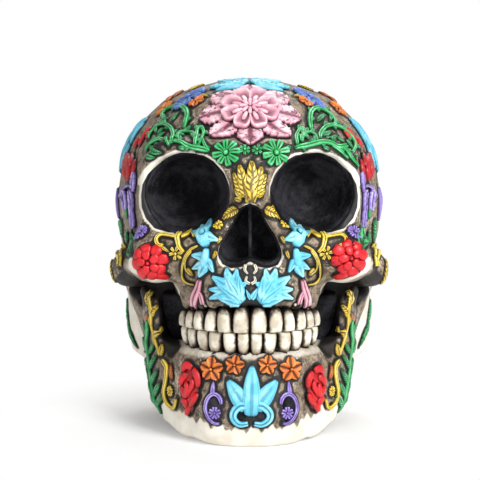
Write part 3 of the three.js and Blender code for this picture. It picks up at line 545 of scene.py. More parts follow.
def on_bone(point):
    spot, normal, _, _ = bone_tree.find_nearest(point)
    return spot, normal


def seen_at(x, y):
    """The place on the bone that shows at a pixel, or the nearest one beside the skull."""
    aside = Vector((1, 0, 0)) * (x - picture_middle) / pixels_per_unit
    ray = (look_ahead + aside + look_up * (picture_middle - y) / pixels_per_unit).normalized()
    hit = bone_tree.ray_cast(look_from, ray)[0]
    if hit is None:
        beside = [look_from + ray * (look_distance - 0.04 + 0.004 * i) for i in range(40)]
        hit = min(beside, key=lambda p: (on_bone(p)[0] - p).length)
    return on_bone(hit)[0]


def from_back(x, z):
    """The place on the bone that is seen from far behind it."""
    return bone_tree.ray_cast(Vector((x * mm, far_behind, z * mm)), Vector((0, -1, 0)))[0]


def from_top(x, y):
    """The place on the bone that is seen from far above it."""
    return bone_tree.ray_cast(Vector((x * mm, y * mm, far_above)), Vector((0, 0, -1)))[0]


def outward(find, hand):
    """A way of finding places by how far out they lie, on the side that hand gives."""
    return lambda out, other: find(out * hand, other)


def course(points, steps):
    """Even steps along a smooth line through points, each brought down to the bone."""
    dense = []
    ends = [points[0] * 2 - points[1]] + list(points) + [points[-1] * 2 - points[-2]]
    for a, b, c, d in zip(ends, ends[1:], ends[2:], ends[3:]):
        for i in range(8):
            k = i / 8
            dense.append(0.5 * (2 * b + (c - a) * k + (2 * a - 5 * b + 4 * c - d) * k * k
                                + (3 * b - a - 3 * c + d) * k ** 3))
    dense.append(points[-1])
    run = [0.0]
    for a, b in zip(dense, dense[1:]):
        run.append(run[-1] + (b - a).length)
    line, i = [], 0
    for step in range(steps + 1):
        goal = run[-1] * step / steps
        while i < len(run) - 2 and run[i + 1] < goal:
            i += 1
        k = (goal - run[i]) / max(1e-9, run[i + 1] - run[i])
        line.append(on_bone(dense[i].lerp(dense[i + 1], k)))
    return line


def press(flat, points, half_width, rise, lift=0.0):
    """A copy of a pattern laid along a line on the bone, and bent to it. Sizes in millimetres."""
    piece = copy_of(flat)
    steps = 24
    line = course(points, steps)
    alongs = [(line[min(i + 1, steps)][0] - line[max(i - 1, 0)][0]).normalized()
              for i in range(steps + 1)]
    for v in piece.data.vertices:
        s, t, high = v.co
        i = min(int(s * steps), steps - 1)
        k = s * steps - i
        normal = line[i][1].lerp(line[i + 1][1], k).normalized()
        along = alongs[i].lerp(alongs[i + 1], k)
        side = normal.cross(along).normalized()
        spot, there = on_bone(line[i][0].lerp(line[i + 1][0], k) + side * t * half_width * mm)
        v.co = spot + (normal + there).normalized() * (lift + high * rise) * mm
    return piece


def lay(flat, at, rows):
    """A pattern pressed along rows of places. A row is its half width, its rise and its places."""
    return [press(flat, [at(*place) for place in places], width, rise)
            for width, rise, *places in rows]


def heap(flat, at, rows, rise):
    """Petals over each other. A row is its half width, its lift off the bone and its places."""
    return [press(flat, [at(*place) for place in places], width, rise, lift)
            for width, lift, *places in rows]


def facing_up(point):
    """A point on the bone, with the ways across and up there and the bone's normal."""
    spot, normal = on_bone(point)
    pole = Vector((0, 0, 1))
    if abs(normal.z) > 0.85:
        pole = Vector((0, math.copysign(1, normal.z), 0))
    across = pole.cross(normal).normalized()
    return spot, across, normal.cross(across), normal


def dot(point, radius, rise, lift=0.0, stretch=1.0):
    """A bead pressed on the bone."""
    piece = copy_of(bead)
    spot, across, up, normal = facing_up(point)
    for v in piece.data.vertices:
        x, y, high = v.co
        at, there = on_bone(spot + (across * x + up * y * stretch) * radius * mm)
        v.co = at + (normal + there).normalized() * (lift + high * rise) * mm
    return piece


def flower(point, radius, count, rise, flat=None, width=None, lift=0.0, turn=0.0, inner=0.12,
           stretch=1.0, eye=0.2):
    """A ring of petals round a point, with a bead in its eye."""
    spot, across, up, _ = facing_up(point)
    width = width or 0.72 * math.pi * radius / count
    made = []
    for i in range(count):
        a = math.radians(turn) + 2 * math.pi * i / count
        ray = (across * math.cos(a) + up * math.sin(a) * stretch) * radius * mm
        made.append(press(flat or club, [spot + ray * inner, spot + ray * (inner + 1) / 2, spot + ray],
                          width, rise, lift))
    if eye:
        made.append(dot(point, radius * eye, rise * 0.7, lift + rise * 0.5, stretch))
    return made


def enamel(name, base, deep, light):
    """Satin enamel: dark wash left in grooves and at the foot, the flanks darkened with painted shade, and
    the crests brushed lighter, partly dry brushing and partly a painted highlight.
    """
    material, shader, place = new_paint("enamel_" + name)
    crest = place.mark("crest")
    cut = place.mark("cut")
    along = place.node("ShaderNodeSeparateXYZ", {}, {
        0: place.node("ShaderNodeUVMap", {"uv_map": "UVMap"})})
    across = (along.twin("Y") * 2 - 1).alone("ABSOLUTE")

    def of_kind(kind):
        return 1 - (cut - kind).alone("ABSOLUTE").fade(0.2, 0.4)

    speck = place.grain(700, detail=4, rough=0.6)
    patch = place.grain(190, detail=2)
    slant = (along * 7 - across * 1.8).alone("FRACT")
    vein = 1 - (slant - 0.5).alone("ABSOLUTE").fade(0.12, 0.26)
    rib = 1 - across.fade(0.04, 0.16)
    furrow = (across * 9.4).alone("COSINE").fade(0.2, 0.9) * along.fade(0.02, 0.2)
    line = (1 - (across - 0.45).alone("ABSOLUTE").fade(0.03, 0.12)) * along.fade(0.05, 0.3)
    fading = 1 - along.fade(0.55, 0.95)
    fleck = rib.either(place.grain(420, detail=3).fade(0.54, 0.6) * (1 - across.fade(0.55, 0.85)))
    cuts = rib * of_kind(crease)
    cuts = cuts.either(vein.either(rib) * of_kind(veins))
    cuts = cuts.either(furrow * fading * of_kind(furrows))
    cuts = cuts.either((line * 0.35).either(rib * 0.6) * fading * of_kind(lines))
    cuts = cuts.either(fleck * of_kind(flecks))
    # Painted shade: the flanks of each relief are painted halfway towards the deep colour.
    shaded_flank = tuple((a + b) / 2 for a, b in zip(colour(base), colour(deep)))
    edge = (crest + speck * 0.4 - 0.2).fade(0.0, 0.6)
    shaded = (crest + patch * 0.5 - 0.25).fade(0.35, 0.85).tint(shaded_flank, colour(base))
    # Painted highlight: the crests are brushed towards the light colour, which is also the paint's dry
    # brushing.
    brushed = (crest.fade(0.6, 1.0) * patch.fade(0.38, 0.62)).tint(shaded, colour(light))
    dirt = (cuts * speck.fade(0.2, 0.5) * 0.95).either(speck.fade(0.62, 0.7) * 0.5)
    worn = dirt.tint(brushed, colour(deep))
    feed(shader.inputs["Base Color"], edge.tint(colour("15100e"), worn))
    feed(shader.inputs["Roughness"], speck * 0.3 + 0.28)
    shader.inputs["Coat Weight"].default_value = 0.1
    shader.inputs["Coat Roughness"].default_value = 0.3
    feed(shader.inputs["Normal"], (speck * 0.35 + patch * 0.4 - cuts).bump(strength=0.75, distance=0.0006))
    return material


# Each paint has its own colour, a deep colour for its wash and painted shade, and a light colour for its
# brushed crests and painted highlights.
enamels = {
    "pink": enamel("pink", base="e2a0b1", deep="6e3a4a", light="f6d2da"),
    "cyan": enamel("cyan", base="66c8e4", deep="226f8c", light="a9ecf7"),
    "blue": enamel("blue", base="4a74c8", deep="182656", light="93b2ee"),
    "green": enamel("green", base="28b05c", deep="06301a", light="8aecb0"),
    "gold": enamel("gold", base="efcd3b", deep="5f430f", light="fcee8c"),
    "red": enamel("red", base="c20512", deep="4a030a", light="dc1726"),
    "purple": enamel("purple", base="8f77cc", deep="2f2258", light="cdbff2"),
    "orange": enamel("orange", base="dc7426", deep="612606", light="f4ab58"),
}
ornaments = []


def ornament(name, slot, pressed, *nodes):
    """Joins pressed shapes into one named relief, paints it and sets it on the skull."""
    piece = join(pressed)
    piece.name = name
    piece.data.materials.clear()
    piece.data.materials.append(enamels[slot])
    settle(piece, slot, *nodes)
    ornaments.append(piece)


def ornament_of(node, slot, pressed):
    """The relief that stands for a node of the solid model, under that node's name."""
    ornament(node, slot, pressed, node)


def sides(columns=502):
    """For each side of the face: its name, a way of finding its places by the left side's pixels,
    and which way is out. The columns of two pixels that mirror each other add up to columns."""
    return (("left", seen_at, -1), ("right", lambda x, y: seen_at(columns - x, y), 1))


dahlia_place = (250, 111)
dahlia = seen_at(*dahlia_place)
ornament_of("dahlia_leaves", "pink", flower(
    dahlia, radius=25.8, count=8, rise=2.0, flat=lobe, width=7.4, turn=-90, inner=0.36, stretch=0.95,
    eye=0))
dahlia_petals = flower(dahlia, radius=14.2, count=8, rise=3.2, flat=petal, width=4.1, lift=1.6, turn=-67,
                       inner=0.15, eye=0)
dahlia_inner_petals = flower(dahlia, radius=9.2, count=8, rise=1.5, flat=bulb, width=1.4, lift=2.2,
                             turn=-67, inner=0.3, eye=0)
dahlia_heart = flower(dahlia, radius=5.4, count=8, rise=1.6, flat=bulb, width=1.1, lift=2.8, turn=-45,
                      inner=0.1, eye=0.14)
ornament_of("dahlia_blossom", "pink", dahlia_petals + dahlia_inner_petals + dahlia_heart)
# Places on the crown are millimetres outward and back, seen from above. The blue flowers' place is
# in metres, and the others are pixels of the picture.
crown_blades = [(3.4, 2, (1.5, -33), (17, -33)), (3, 2, (2, -24), (5, -8))]
crown_lobes = [(3.8, 2, (1.5, -29), (19, -25)), (3.6, 2, (1.5, -27), (15, -13))]
crown_bead = (2.6, -29)
blue_flower_out, blue_flower_ahead, blue_flower_height = 0.0292, -0.0233, 0.1587
forehead_star_place = (197, 102)
temple_star_place = (165, 109)
temple_star_leaves = [(1.7, 1.5, (166, 104), (174, 96)), (1.7, 1.5, (173, 98), (184, 90))]
crown_sprig = [(1.6, 1.5, (188, 92), (205, 83)), (1.2, 1.2, (199, 96), (209, 97))]
for side, at, hand in sides():
    over = outward(from_top, hand)
    ornament_of("crown_leaf_" + side, "cyan", lay(blade, over, crown_blades)
                + lay(lobe, over, crown_lobes) + [dot(over(*crown_bead), radius=2, rise=1.6, lift=1)])
    middle = on_bone(Vector((blue_flower_out * hand, blue_flower_ahead, blue_flower_height)))[0]
    ornament_of("blue_flower_" + side, "blue", flower(
        middle, radius=9.6, count=8, rise=2.2, flat=furrowed, width=2.9, turn=20, inner=0.1))
    ornament("forehead_star_" + side, "orange", flower(
        at(*forehead_star_place), radius=4.6, count=5, rise=1.7, flat=star, width=1.9, turn=90,
        inner=0.04))
    ornament("temple_star_" + side, "orange", flower(
        at(*temple_star_place), radius=5.6, count=5, rise=1.8, flat=star, width=2.3, turn=60, inner=0.04)
        + lay(leaf, at, temple_star_leaves))
    ornament("crown_sprig_" + side, "gold", lay(leaf, at, crown_sprig))

# Brow. Green scrolling vines over each eye, a green flower at the inner end of each, two tiny
# ones between them, and a fan of feathered gold leaves on the nose bridge. Cast, glued, painted.
vine_stems = {
    "left": [
        (1.41, 1.9, (210, 151), (200, 149), (190, 147), (181, 143), (173, 142)),
        (1.222, 1.9, (172, 143), (174, 134), (171, 128), (164, 125), (157, 128), (152, 134), (149, 141)),
        (1.128, 1.9, (147, 153), (149, 147), (155, 142), (163, 140), (168, 143), (169, 148)),
        (1.41, 1.9, (184, 131), (187, 121), (188, 113), (184, 108), (176, 107), (168, 110), (163, 115),
         (165, 120), (170, 118)),
        (1.034, 1.9, (177, 140), (179, 135), (185, 133), (192, 134), (196, 137)),
        (1.034, 1.9, (196, 148), (196, 139), (198, 131), (202, 128), (204, 132), (202, 140), (199, 147)),
        (0.846, 1.9, (210, 152), (205, 145), (202, 139))],
    "right": [
        (1.41, 1.9, (292, 149), (301, 147), (311, 145), (321, 143), (331, 144), (341, 147), (350, 151)),
        (1.41, 1.9, (311, 132), (309, 122), (310, 113), (315, 109), (323, 111), (330, 116), (334, 122),
         (332, 127)),
        (1.222, 1.9, (320, 142), (320, 134), (324, 128), (332, 126), (341, 129), (349, 136), (354, 146),
         (355, 158)),
        (1.034, 1.9, (300, 143), (303, 136), (310, 134), (315, 137), (317, 142)),
        (1.034, 1.9, (296, 147), (296, 138), (299, 131), (303, 130), (304, 136), (301, 144)),
        (0.846, 1.9, (330, 145), (339, 151), (347, 158)),
        (0.846, 1.9, (341, 147), (350, 157), (357, 167))],
}
vine_leaves = {
    "left": [
        (1.5, 1.5, (158, 134), (165, 129)), (1.4, 1.5, (157, 139), (166, 133)),
        (1.6, 1.5, (150, 152), (163, 153)), (1.4, 1.5, (146, 157), (156, 157)),
        (1.2, 1.5, (151, 148), (160, 145)), (1.1, 1.5, (188, 131), (191, 126)),
        (1.3, 1.5, (172, 122), (179, 113)), (1.0, 1.5, (205, 150), (211, 147)),
        (1.1, 1.5, (186, 149), (178, 147))],
    "right": [
        (1.5, 1.5, (322, 137), (331, 131)), (1.4, 1.5, (326, 140), (338, 135)),
        (1.0, 1.5, (290, 146), (285, 151)), (1.0, 1.5, (306, 133), (307, 128)),
        (1.3, 1.5, (316, 122), (324, 115)), (1.3, 1.5, (345, 140), (352, 150)),
        (1.2, 1.5, (336, 138), (344, 143)), (1.0, 1.5, (329, 150), (322, 147))],
}
leaflet_reach = 6
brow_flower_place = (226.5, 153)
brow_floret_place = (244.5, 150)
gold_fan = [
    (1.3, 1.2, (242, 201), (235, 198)), (1.7, 1.4, (243, 199), (235, 187)),
    (1.7, 1.4, (257, 198), (264, 187)), (2.5, 1.7, (245, 199), (233, 171)),
    (2.5, 1.7, (255, 199), (266, 172)), (2.9, 2.0, (247, 200), (239, 162)),
    (2.9, 2.0, (253, 200), (262, 164)), (3.6, 2.5, (250, 204), (252, 158))]


def leaflets(path):
    """Short leaves that spring from a stem's bends, to one side and the other by turns."""
    rows = []
    for i, ((ax, ay), (bx, by), (cx, cy)) in enumerate(zip(path, path[1:], path[2:])):
        k = leaflet_reach / math.hypot(cx - ax, cy - ay)
        ahead, aside = 0.6 * k, 0.8 * k * (-1) ** i
        tip = (bx + (cx - ax) * ahead - (cy - ay) * aside, by + (cy - ay) * ahead + (cx - ax) * aside)
        rows.append((1.2, 1.6, (bx, by), tip))
    return rows


for side in ("left", "right"):
    springing = [row for width, _, *path in vine_stems[side] if width > 1 for row in leaflets(path)]
    ornament_of("brow_vine_" + side, "green", lay(stem, seen_at, vine_stems[side])
                + lay(leaf, seen_at, vine_leaves[side] + springing))
for side, at, hand in sides():
    ornament_of("brow_flower_" + side, "green", flower(
        at(*brow_flower_place), radius=6.9, count=8, rise=2.0, flat=furrowed, width=1.75, turn=12,
        inner=0.14))
    ornament("brow_floret_" + side, "green", flower(
        at(*brow_floret_place), radius=2.8, count=6, rise=1.1, width=0.75, turn=20, inner=0.2, eye=0.24))
ornament_of("gold_leaf_fan", "gold", lay(leaf, seen_at, gold_fan))

# Cheeks and upper lip. Red roses on the cheekbones, cyan bells and gold scrolls between them and
# the nose, pink drops over the teeth, and cyan acanthus leaves under the nose.
# Cast resin reliefs, glued on. Small bone-coloured points and curls stand between them.
cheek_rose_places = {"left": (149, 262), "right": (350, 258)}
cheek_rose_leaf = [(2.2, 1.6, (150, 270), (160, 275), (169, 277))]
bell_leaves = [
    (3.4, 1.8, (207, 238), (191, 233)), (4.4, 2.0, (203, 241), (213, 219)),
    (3.0, 1.8, (203, 236), (219, 241)), (3.6, 1.9, (205, 243), (203, 226)),
    (2.6, 1.8, (208, 257), (191, 254)), (2.4, 1.7, (205, 256), (215, 273)),
    (2.2, 1.9, (207, 261), (193, 268)), (3.0, 2.0, (206, 262), (200, 278))]
bell_cups = [(4.8, 2.3, (208, 250), (205, 241), (204, 227)), (2.6, 2.4, (208, 246), (206, 256), (203, 268))]
bell_bead = (204, 234)
scroll_stems = [
    (1.0, 1.6, (164, 243), (161, 246), (157, 243), (157, 238), (162, 235), (170, 236), (177, 237),
     (180, 234)),
    (1.5, 1.7, (180, 234), (178, 240), (180, 247), (185, 252)),
    (1.1, 1.5, (180, 238), (186, 236), (190, 233), (195, 238)),
    (0.6, 1.4, (200, 245), (191, 249), (185, 257), (182, 267), (183, 277), (188, 283), (196, 285)),
    (0.6, 1.3, (192, 250), (186, 258), (185, 266), (188, 272))]
scroll_leaves = [
    (1.8, 1.5, (186, 268), (194, 276)), (0.9, 1.2, (160, 246), (170, 252)),
    (1.3, 1.4, (183, 236), (193, 229))]
cheek_floret_place = (176, 253)
nose_leaves = [
    (2.5, 1.5, (238, 208), (230, 213), (222, 221)), (1.2, 1.2, (236, 209), (228, 209)),
    (0.9, 1.0, (221, 236), (217, 244)), (0.9, 1.0, (216, 250), (213, 259))]
nose_floret_place = (218, 225)
pink_drops = [(1.3, 1.6, (197, 288), (202, 297), (204, 305)), (2.6, 2.2, (201, 277), (198, 291), (195, 308))]
acanthus_root = (233, 290)
acanthus_leaves = [(width, 1.9, acanthus_root, tip) for width, tip in (
    (3.4, (226, 267)), (3.0, (238, 268)), (3.4, (212, 275)), (2.8, (209, 289)),
    (2.6, (209, 299)), (2.6, (221, 311)), (2.8, (248, 282)), (4.2, (249, 311)))]
acanthus_body = [(5.6, 1.8, (245, 304), (233, 292), (221, 279))]
acanthus_ribs = [
    (2.2, 2.6, (244, 303), (226, 272)), (2.2, 2.6, (243, 302), (216, 281)),
    (2.2, 2.6, (242, 303), (217, 296)), (2.2, 2.6, (242, 299), (239, 274))]
for side, at, hand in sides():
    rose = seen_at(*cheek_rose_places[side])
    outer = flower(rose, radius=10.0, count=8, rise=2.4, flat=bulb, width=3.4, turn=12, inner=0.3, eye=0)
    inner = flower(rose, radius=6.2, count=5, rise=2.0, flat=bulb, width=2.5, lift=1.0, turn=-40, eye=0.16)
    ornament_of("cheek_rose_" + side, "red", outer + inner + [dot(rose, radius=7.0, rise=1.3)]
                + lay(bulb, at, cheek_rose_leaf))
    ornament_of("cheek_bell_" + side, "cyan", lay(dart, at, bell_leaves) + lay(bulb, at, bell_cups)
                + [dot(at(*bell_bead), radius=1.7, rise=1.2, lift=1.9)])
    ornament_of("cheek_scroll_" + side, "gold", lay(stem, at, scroll_stems) + lay(leaf, at, scroll_leaves))
    ornament("cheek_floret_" + side, "gold", flower(
        at(*cheek_floret_place), radius=3.6, count=6, rise=1.2, width=0.8, turn=10, inner=0.2))
    ornament("nose_scroll_" + side, "gold", lay(leaf, at, nose_leaves)
             + flower(at(*nose_floret_place), radius=2.5, count=4, rise=1.2, turn=30))
    ornament_of("pink_drop_" + side, "pink", lay(club, at, pink_drops))
    ornament_of("acanthus_" + side, "cyan", lay(dart, at, acanthus_leaves) + lay(bulb, at, acanthus_body)
                + lay(dart, at, acanthus_ribs))
gum_point_leans = {194: -1, 206: 1, 219: 0, 285: 0, 297: -1, 306: 1}
gum_points = [(1.5, 1.3, (x, 307), (x + lean, 318)) for x, lean in gum_point_leans.items()]
gum_beads = [(206, 305), (231, 305), (270, 305), (295, 304)]
nose_curls = [
    (0.8, 1.3, (246, 265), (245, 270), (248, 274)), (0.8, 1.3, (254, 265), (256, 270), (253, 274)),
    (0.8, 1.3, (250, 284), (246, 281), (247, 276)), (0.8, 1.3, (251, 284), (255, 281), (254, 276))]
lip_leaves = [(1.0, 1.2, (251, 300), (246, 289)), (1.6, 1.4, (251, 300), (258, 287))]
enamels["bone"] = enamel("bone", base="e9e0ca", deep="54473a", light="f3ecdc")
ornament("gum_points", "bone", lay(dart, seen_at, gum_points)
         + [dot(seen_at(*place), radius=0.9, rise=1.2) for place in gum_beads])
ornament("nose_spine", "bone", lay(stem, seen_at, nose_curls))
ornament("lip_sprig", "cyan", lay(dart, seen_at, lip_leaves))

# Temples and arches. Cyan feathers, red roses with buds, purple irises with a floret, green
# leaves, and gold leaves along the cheek arch. Cast reliefs, glued round the side of the skull.
temple_columns = 496
feather_barbs = [
    (2.6, 2.0, (149, 118), (139, 127), (132, 140)), (3.0, 2.0, (140, 126), (130, 141), (124, 158)),
    (3.2, 2.0, (130, 140), (123, 156), (119, 175)), (1.8, 2.0, (146, 122), (137, 133), (131, 146)),
    (2.2, 2.0, (132, 141), (127, 155), (122, 171))]
temple_rose_root = (131, 181)
temple_rose_petals = [(width, lift, temple_rose_root, bend, tip) for width, lift, bend, tip in (
    (2.6, 0, (127, 170), (125, 157)), (2.6, 0, (135, 170), (137, 158)), (2.6, 0.4, (129, 166), (128, 152)),
    (2.6, 0.4, (133, 166), (135, 152)), (2.8, 0.9, (131, 168), (131, 153)),
    (2.0, 1.3, (129, 173), (127, 163)), (2.0, 1.3, (133, 173), (134, 163)))]
temple_buds = [
    (2.6, 1.8, (143, 141), (152, 127)), (2.4, 1.8, (140, 147), (147, 134)),
    (2.4, 1.8, (136, 149), (141, 137)), (1.8, 1.8, (147, 140), (154, 131))]
iris_petals = [
    (4.6, 1.9, (134, 190), (135, 181), (136, 172)), (4.4, 1.9, (127, 210), (126, 200), (124, 190)),
    (4.2, 1.9, (133, 211), (133, 200), (131, 190)), (3.8, 1.9, (133, 208), (134, 218), (134, 228))]
iris_outer_petal = [(5.4, 1.9, (118, 222), (117, 203), (119, 185))]
iris_stem = [(0.9, 2.0, (121, 198), (124, 191), (129, 186), (135, 187))]
temple_ribbon = [(1.8, 1.5, (117, 244), (115, 232), (116, 220))]
temple_floret_place = (141.5, 233)
temple_leaves = [
    (4.4, 1.9, (124, 241), (122, 231), (123, 220)), (4.6, 1.9, (133, 254), (134, 240), (131, 226)),
    (1.5, 1.9, (129, 220), (128, 206)), (1.8, 1.9, (128, 244), (128, 231))]
arch_lobe = [(2.2, 1.7, (121, 268), (120, 256), (119, 243))]
arch_leaf = [(1.6, 1.5, (116, 287), (111, 272), (113, 257))]
nape_leaves = [(1.9, 1.5, (126, 297), (127, 310), (130, 325)), (1.7, 1.5, (128, 318), (131, 332), (138, 348))]
for side, at, hand in sides(temple_columns):
    ornament_of("temple_feather_" + side, "cyan", lay(blade, at, feather_barbs))
    ornament_of("temple_rose_" + side, "red", heap(blade, at, temple_rose_petals, rise=2.2))
    ornament("temple_bud_" + side, "red", lay(bulb, at, temple_buds))
    ornament_of("temple_iris_" + side, "purple", lay(lobe, at, iris_petals)
                + lay(blade, at, iris_outer_petal) + lay(stem, at, iris_stem))
    ornament("temple_ribbon_" + side, "pink", lay(blade, at, temple_ribbon))
    ornament("temple_floret_" + side, "purple", flower(
        at(*temple_floret_place), radius=4.2, count=8, rise=1.5, width=1.2, turn=20, inner=0.2))
    ornament_of("temple_leaf_" + side, "green", lay(leaf, at, temple_leaves))
    ornament_of("arch_leaf_" + side, "gold", lay(lobe, at, arch_lobe) + lay(leaf, at, arch_leaf))
    ornament("nape_leaf_" + side, "green", lay(leaf, at, nape_leaves))

# Jaw. Green vines and gold stems up the sides, gold hooks, red rose ovals, orange stars, purple
# drops with a floret, and a cyan lily in the middle of the chin. Cast reliefs, glued on.
ramus_columns = 499
ramus_vine_stem = [(1.3, 1.8, (148, 318), (148, 338), (150, 357), (152, 376), (155, 393), (161, 409))]
ramus_vine_leaves = [
    (1.6, 1.9, (148, 336), (144, 322)), (2.0, 1.9, (149, 352), (144, 336)),
    (1.6, 1.9, (150, 354), (156, 342)), (1.9, 1.9, (150, 367), (145, 352)),
    (1.7, 1.9, (151, 369), (158, 356)), (2.0, 1.9, (151, 381), (147, 365)),
    (2.0, 1.9, (152, 384), (159, 370)), (2.1, 1.9, (153, 394), (148, 379)),
    (2.1, 1.9, (155, 396), (162, 382)), (2.0, 1.9, (157, 405), (151, 391)),
    (1.9, 1.9, (159, 408), (165, 395)), (1.7, 1.9, (162, 414), (157, 401))]
ramus_gold_stem = [(1.0, 1.6, (150, 296), (152, 314), (155, 334), (161, 357))]
ramus_gold_leaves = [
    (2.0, 1.7, (151, 306), (149, 290)), (2.0, 1.7, (152, 317), (157, 305)),
    (2.0, 1.7, (153, 327), (150, 315)), (2.0, 1.7, (156, 337), (160, 325)),
    (2.0, 1.7, (157, 345), (153, 332)), (2.0, 1.7, (161, 357), (163, 343))]
ramus_bud = [(1.4, 1.3, (146, 323), (150, 312))]
for side, at, hand in sides(ramus_columns):
    ornament_of("ramus_vine_" + side, "green",
                lay(stem, at, ramus_vine_stem) + lay(leaf, at, ramus_vine_leaves))
    ornament_of("ramus_stem_" + side, "gold",
                lay(stem, at, ramus_gold_stem) + lay(leaf, at, ramus_gold_leaves))
    ornament("ramus_bud_" + side, "orange", lay(leaf, at, ramus_bud))
chin_hook = [(1.4, 1.7, (163, 360), (168, 368), (167, 380), (165, 392), (168, 403), (175, 408), (178, 397))]
hook_floret_place = (171, 391)
chin_bud = [(1.5, 1.4, (173, 380), (172, 364))]
chin_rose_places = {"left": (191, 390), "right": (315, 390)}
chin_rose_tall = {"left": 1, "right": 0.86}
# The rose's own places are millimetres outward and up from its middle.
chin_rose_petals = [
    (2.4, 0.3, (4.6, 7.5), (2, 11.5), (-2.6, 10.4)), (2.4, 0.3, (-2.2, 11.4), (-5.2, 7.4), (-5.6, 1)),
    (2.3, 0.8, (5.6, 1), (3.6, 5.6), (-0.2, 7.6)), (2.0, 1.2, (-2.2, 7), (-3, 3), (-0.6, -1), (0.2, -4.4)),
    (1.9, 1.6, (0.6, 5), (0, 0.4), (1.4, -4.6)), (2.4, 0.8, (6, -1.4), (3.4, 0), (1.8, -4.6)),
    (2.3, 0.6, (5.2, -5.6), (2.6, -5.4), (0.2, -8.6)), (2.4, 0.5, (-1.8, -7.6), (-4.8, -4), (-5.8, 0)),
    (2.2, 0.4, (1.4, -12.4), (0.2, -9.4), (-2.6, -6.6))]
outer_star_place = (212, 369)
inner_star_place = (235, 365)
drop_blade = [(1.2, 1.4, (212, 398), (214, 380))]
drop_loop = [
    (1.1, 1.6, (222, 406), (220, 398), (214, 394), (208, 399), (206, 409), (209, 418), (215, 423),
     (221, 423))]
drop_floret_place = (215, 413)


def around(point, hand, tall=1):
    """A way of finding places by the millimetres that they lie outward and up from a point."""
    spot, across, up, _ = facing_up(point)
    return lambda out, rise: spot + (across * out * hand + up * rise * tall) * mm


for side, at, hand in sides():
    ornament_of("chin_hook_" + side, "gold", lay(stem, at, chin_hook)
                + flower(at(*hook_floret_place), radius=2.6, count=5, rise=1.2, turn=15))
    ornament("chin_bud_" + side, "orange", lay(leaf, at, chin_bud))
    rose = seen_at(*chin_rose_places[side])
    tall = chin_rose_tall[side]
    petals = heap(bulb, around(rose, hand, tall), chin_rose_petals, rise=2.0)
    ornament_of("chin_rose_" + side, "red",
                petals + [dot(rose, radius=6.0, rise=1.9, stretch=1.95 * tall)])
    ornament_of("chin_star_outer_" + side, "orange", flower(
        at(*outer_star_place), radius=6.1, count=5, rise=2.1, flat=star, width=2.5, turn=90, inner=0.04,
        eye=0.13))
    ornament_of("chin_star_inner_" + side, "orange", flower(
        at(*inner_star_place), radius=4.7, count=5, rise=2.0, flat=star, width=1.95, turn=80, inner=0.04,
        eye=0.13))
    ornament_of("chin_drop_" + side, "purple", lay(blade, at, drop_blade) + lay(stem, at, drop_loop)
                + flower(at(*drop_floret_place), radius=3.0, count=5, rise=1.3, turn=18))
lily_blades = [
    (4.6, 1.9, (248, 412), (238, 396), (227, 378)), (4.6, 1.9, (254, 412), (265, 396), (278, 378)),
    (4.8, 2.5, (251, 420), (252, 362))]
lily_loops = [
    (2.2, 2.1, (248, 406), (240, 406), (234, 412), (234, 419), (240, 424), (249, 423)),
    (2.2, 2.1, (254, 406), (262, 406), (269, 412), (269, 419), (262, 424), (253, 423))]
ornament_of("chin_lily", "cyan", lay(blade, seen_at, lily_blades) + lay(stem, seen_at, lily_loops))

# Sides and back. The photograph shows none of it, so the same flowers and vines carry on: a red
# rose and green scrolls on each parietal, and a pink dahlia at the back. Cast reliefs, glued on.
# Their places are millimetres outward and up from the rose's middle.
parietal_stems = [(1.3, 1.8, (-12.8, -4), (-9.5, -9), (0, -12.8), (9.5, -9), (12.8, -4))]
for k in (-1, 1):
    parietal_stems += [
        (1.3, 1.8, (k * 12.8, -4), (k * 21, 2), (k * 24, 14), (k * 18, 24), (k * 9, 25), (k * 6, 19)),
        (1.3, 1.8, (k * 5, -12.8), (k * 13, -21), (k * 16, -31), (k * 10, -38), (k * 4, -35))]
parietal_leaves = [
    (2.4, 1.7, (0, -12.8), (0, -30)), (2.4, 1.7, (23, 7), (33, 13)), (2.4, 1.7, (22, 19), (28, 30)),
    (2.4, 1.7, (15, -25), (26, -29)), (2.4, 1.7, (-23, 7), (-15, 11)), (2.4, 1.7, (-20, 22), (-22, 33)),
    (2.4, 1.7, (-15, -25), (-21, -34))]
back_dahlia_height = 112.7


def dropped(find):
    """A way of finding places that brings each of them down to the bone."""
    return lambda *place: on_bone(find(*place))[0]


for side, at, hand in sides():
    low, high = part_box("parietal_rose_" + side)
    rose = on_bone((Vector(low) + Vector(high)) / 2)[0]
    outer = flower(rose, radius=10.4, count=8, rise=2.3, flat=bulb, width=3.6, inner=0.3, eye=0)
    inner = flower(rose, radius=6.4, count=8, rise=2.0, flat=bulb, width=1.9, lift=0.9, turn=22, eye=0.16)
    ornament_of("parietal_rose_" + side, "red", outer + inner + [dot(rose, radius=8.4, rise=1.3)])
    by_rose = dropped(around(rose, hand))
    ornament_of("parietal_vine_" + side, "green",
                lay(stem, by_rose, parietal_stems) + lay(leaf, by_rose, parietal_leaves))
back_middle = from_back(0, back_dahlia_height)
back_dahlia_leaves = flower(back_middle, radius=22, count=8, rise=2.0, flat=lobe, width=5.6, turn=-90,
                            inner=0.4, eye=0)
back_dahlia_petals = flower(back_middle, radius=13, count=8, rise=2.2, flat=petal, width=4.5, lift=1.7,
                            turn=-67, inner=0.15, eye=0)
back_dahlia_heart = flower(back_middle, radius=7, count=8, rise=1.3, flat=club, width=1.5, lift=2.6,
                           turn=-45, inner=0.08, eye=0.16)
ornament_of("back_dahlia", "pink", back_dahlia_leaves + back_dahlia_petals + back_dahlia_heart)

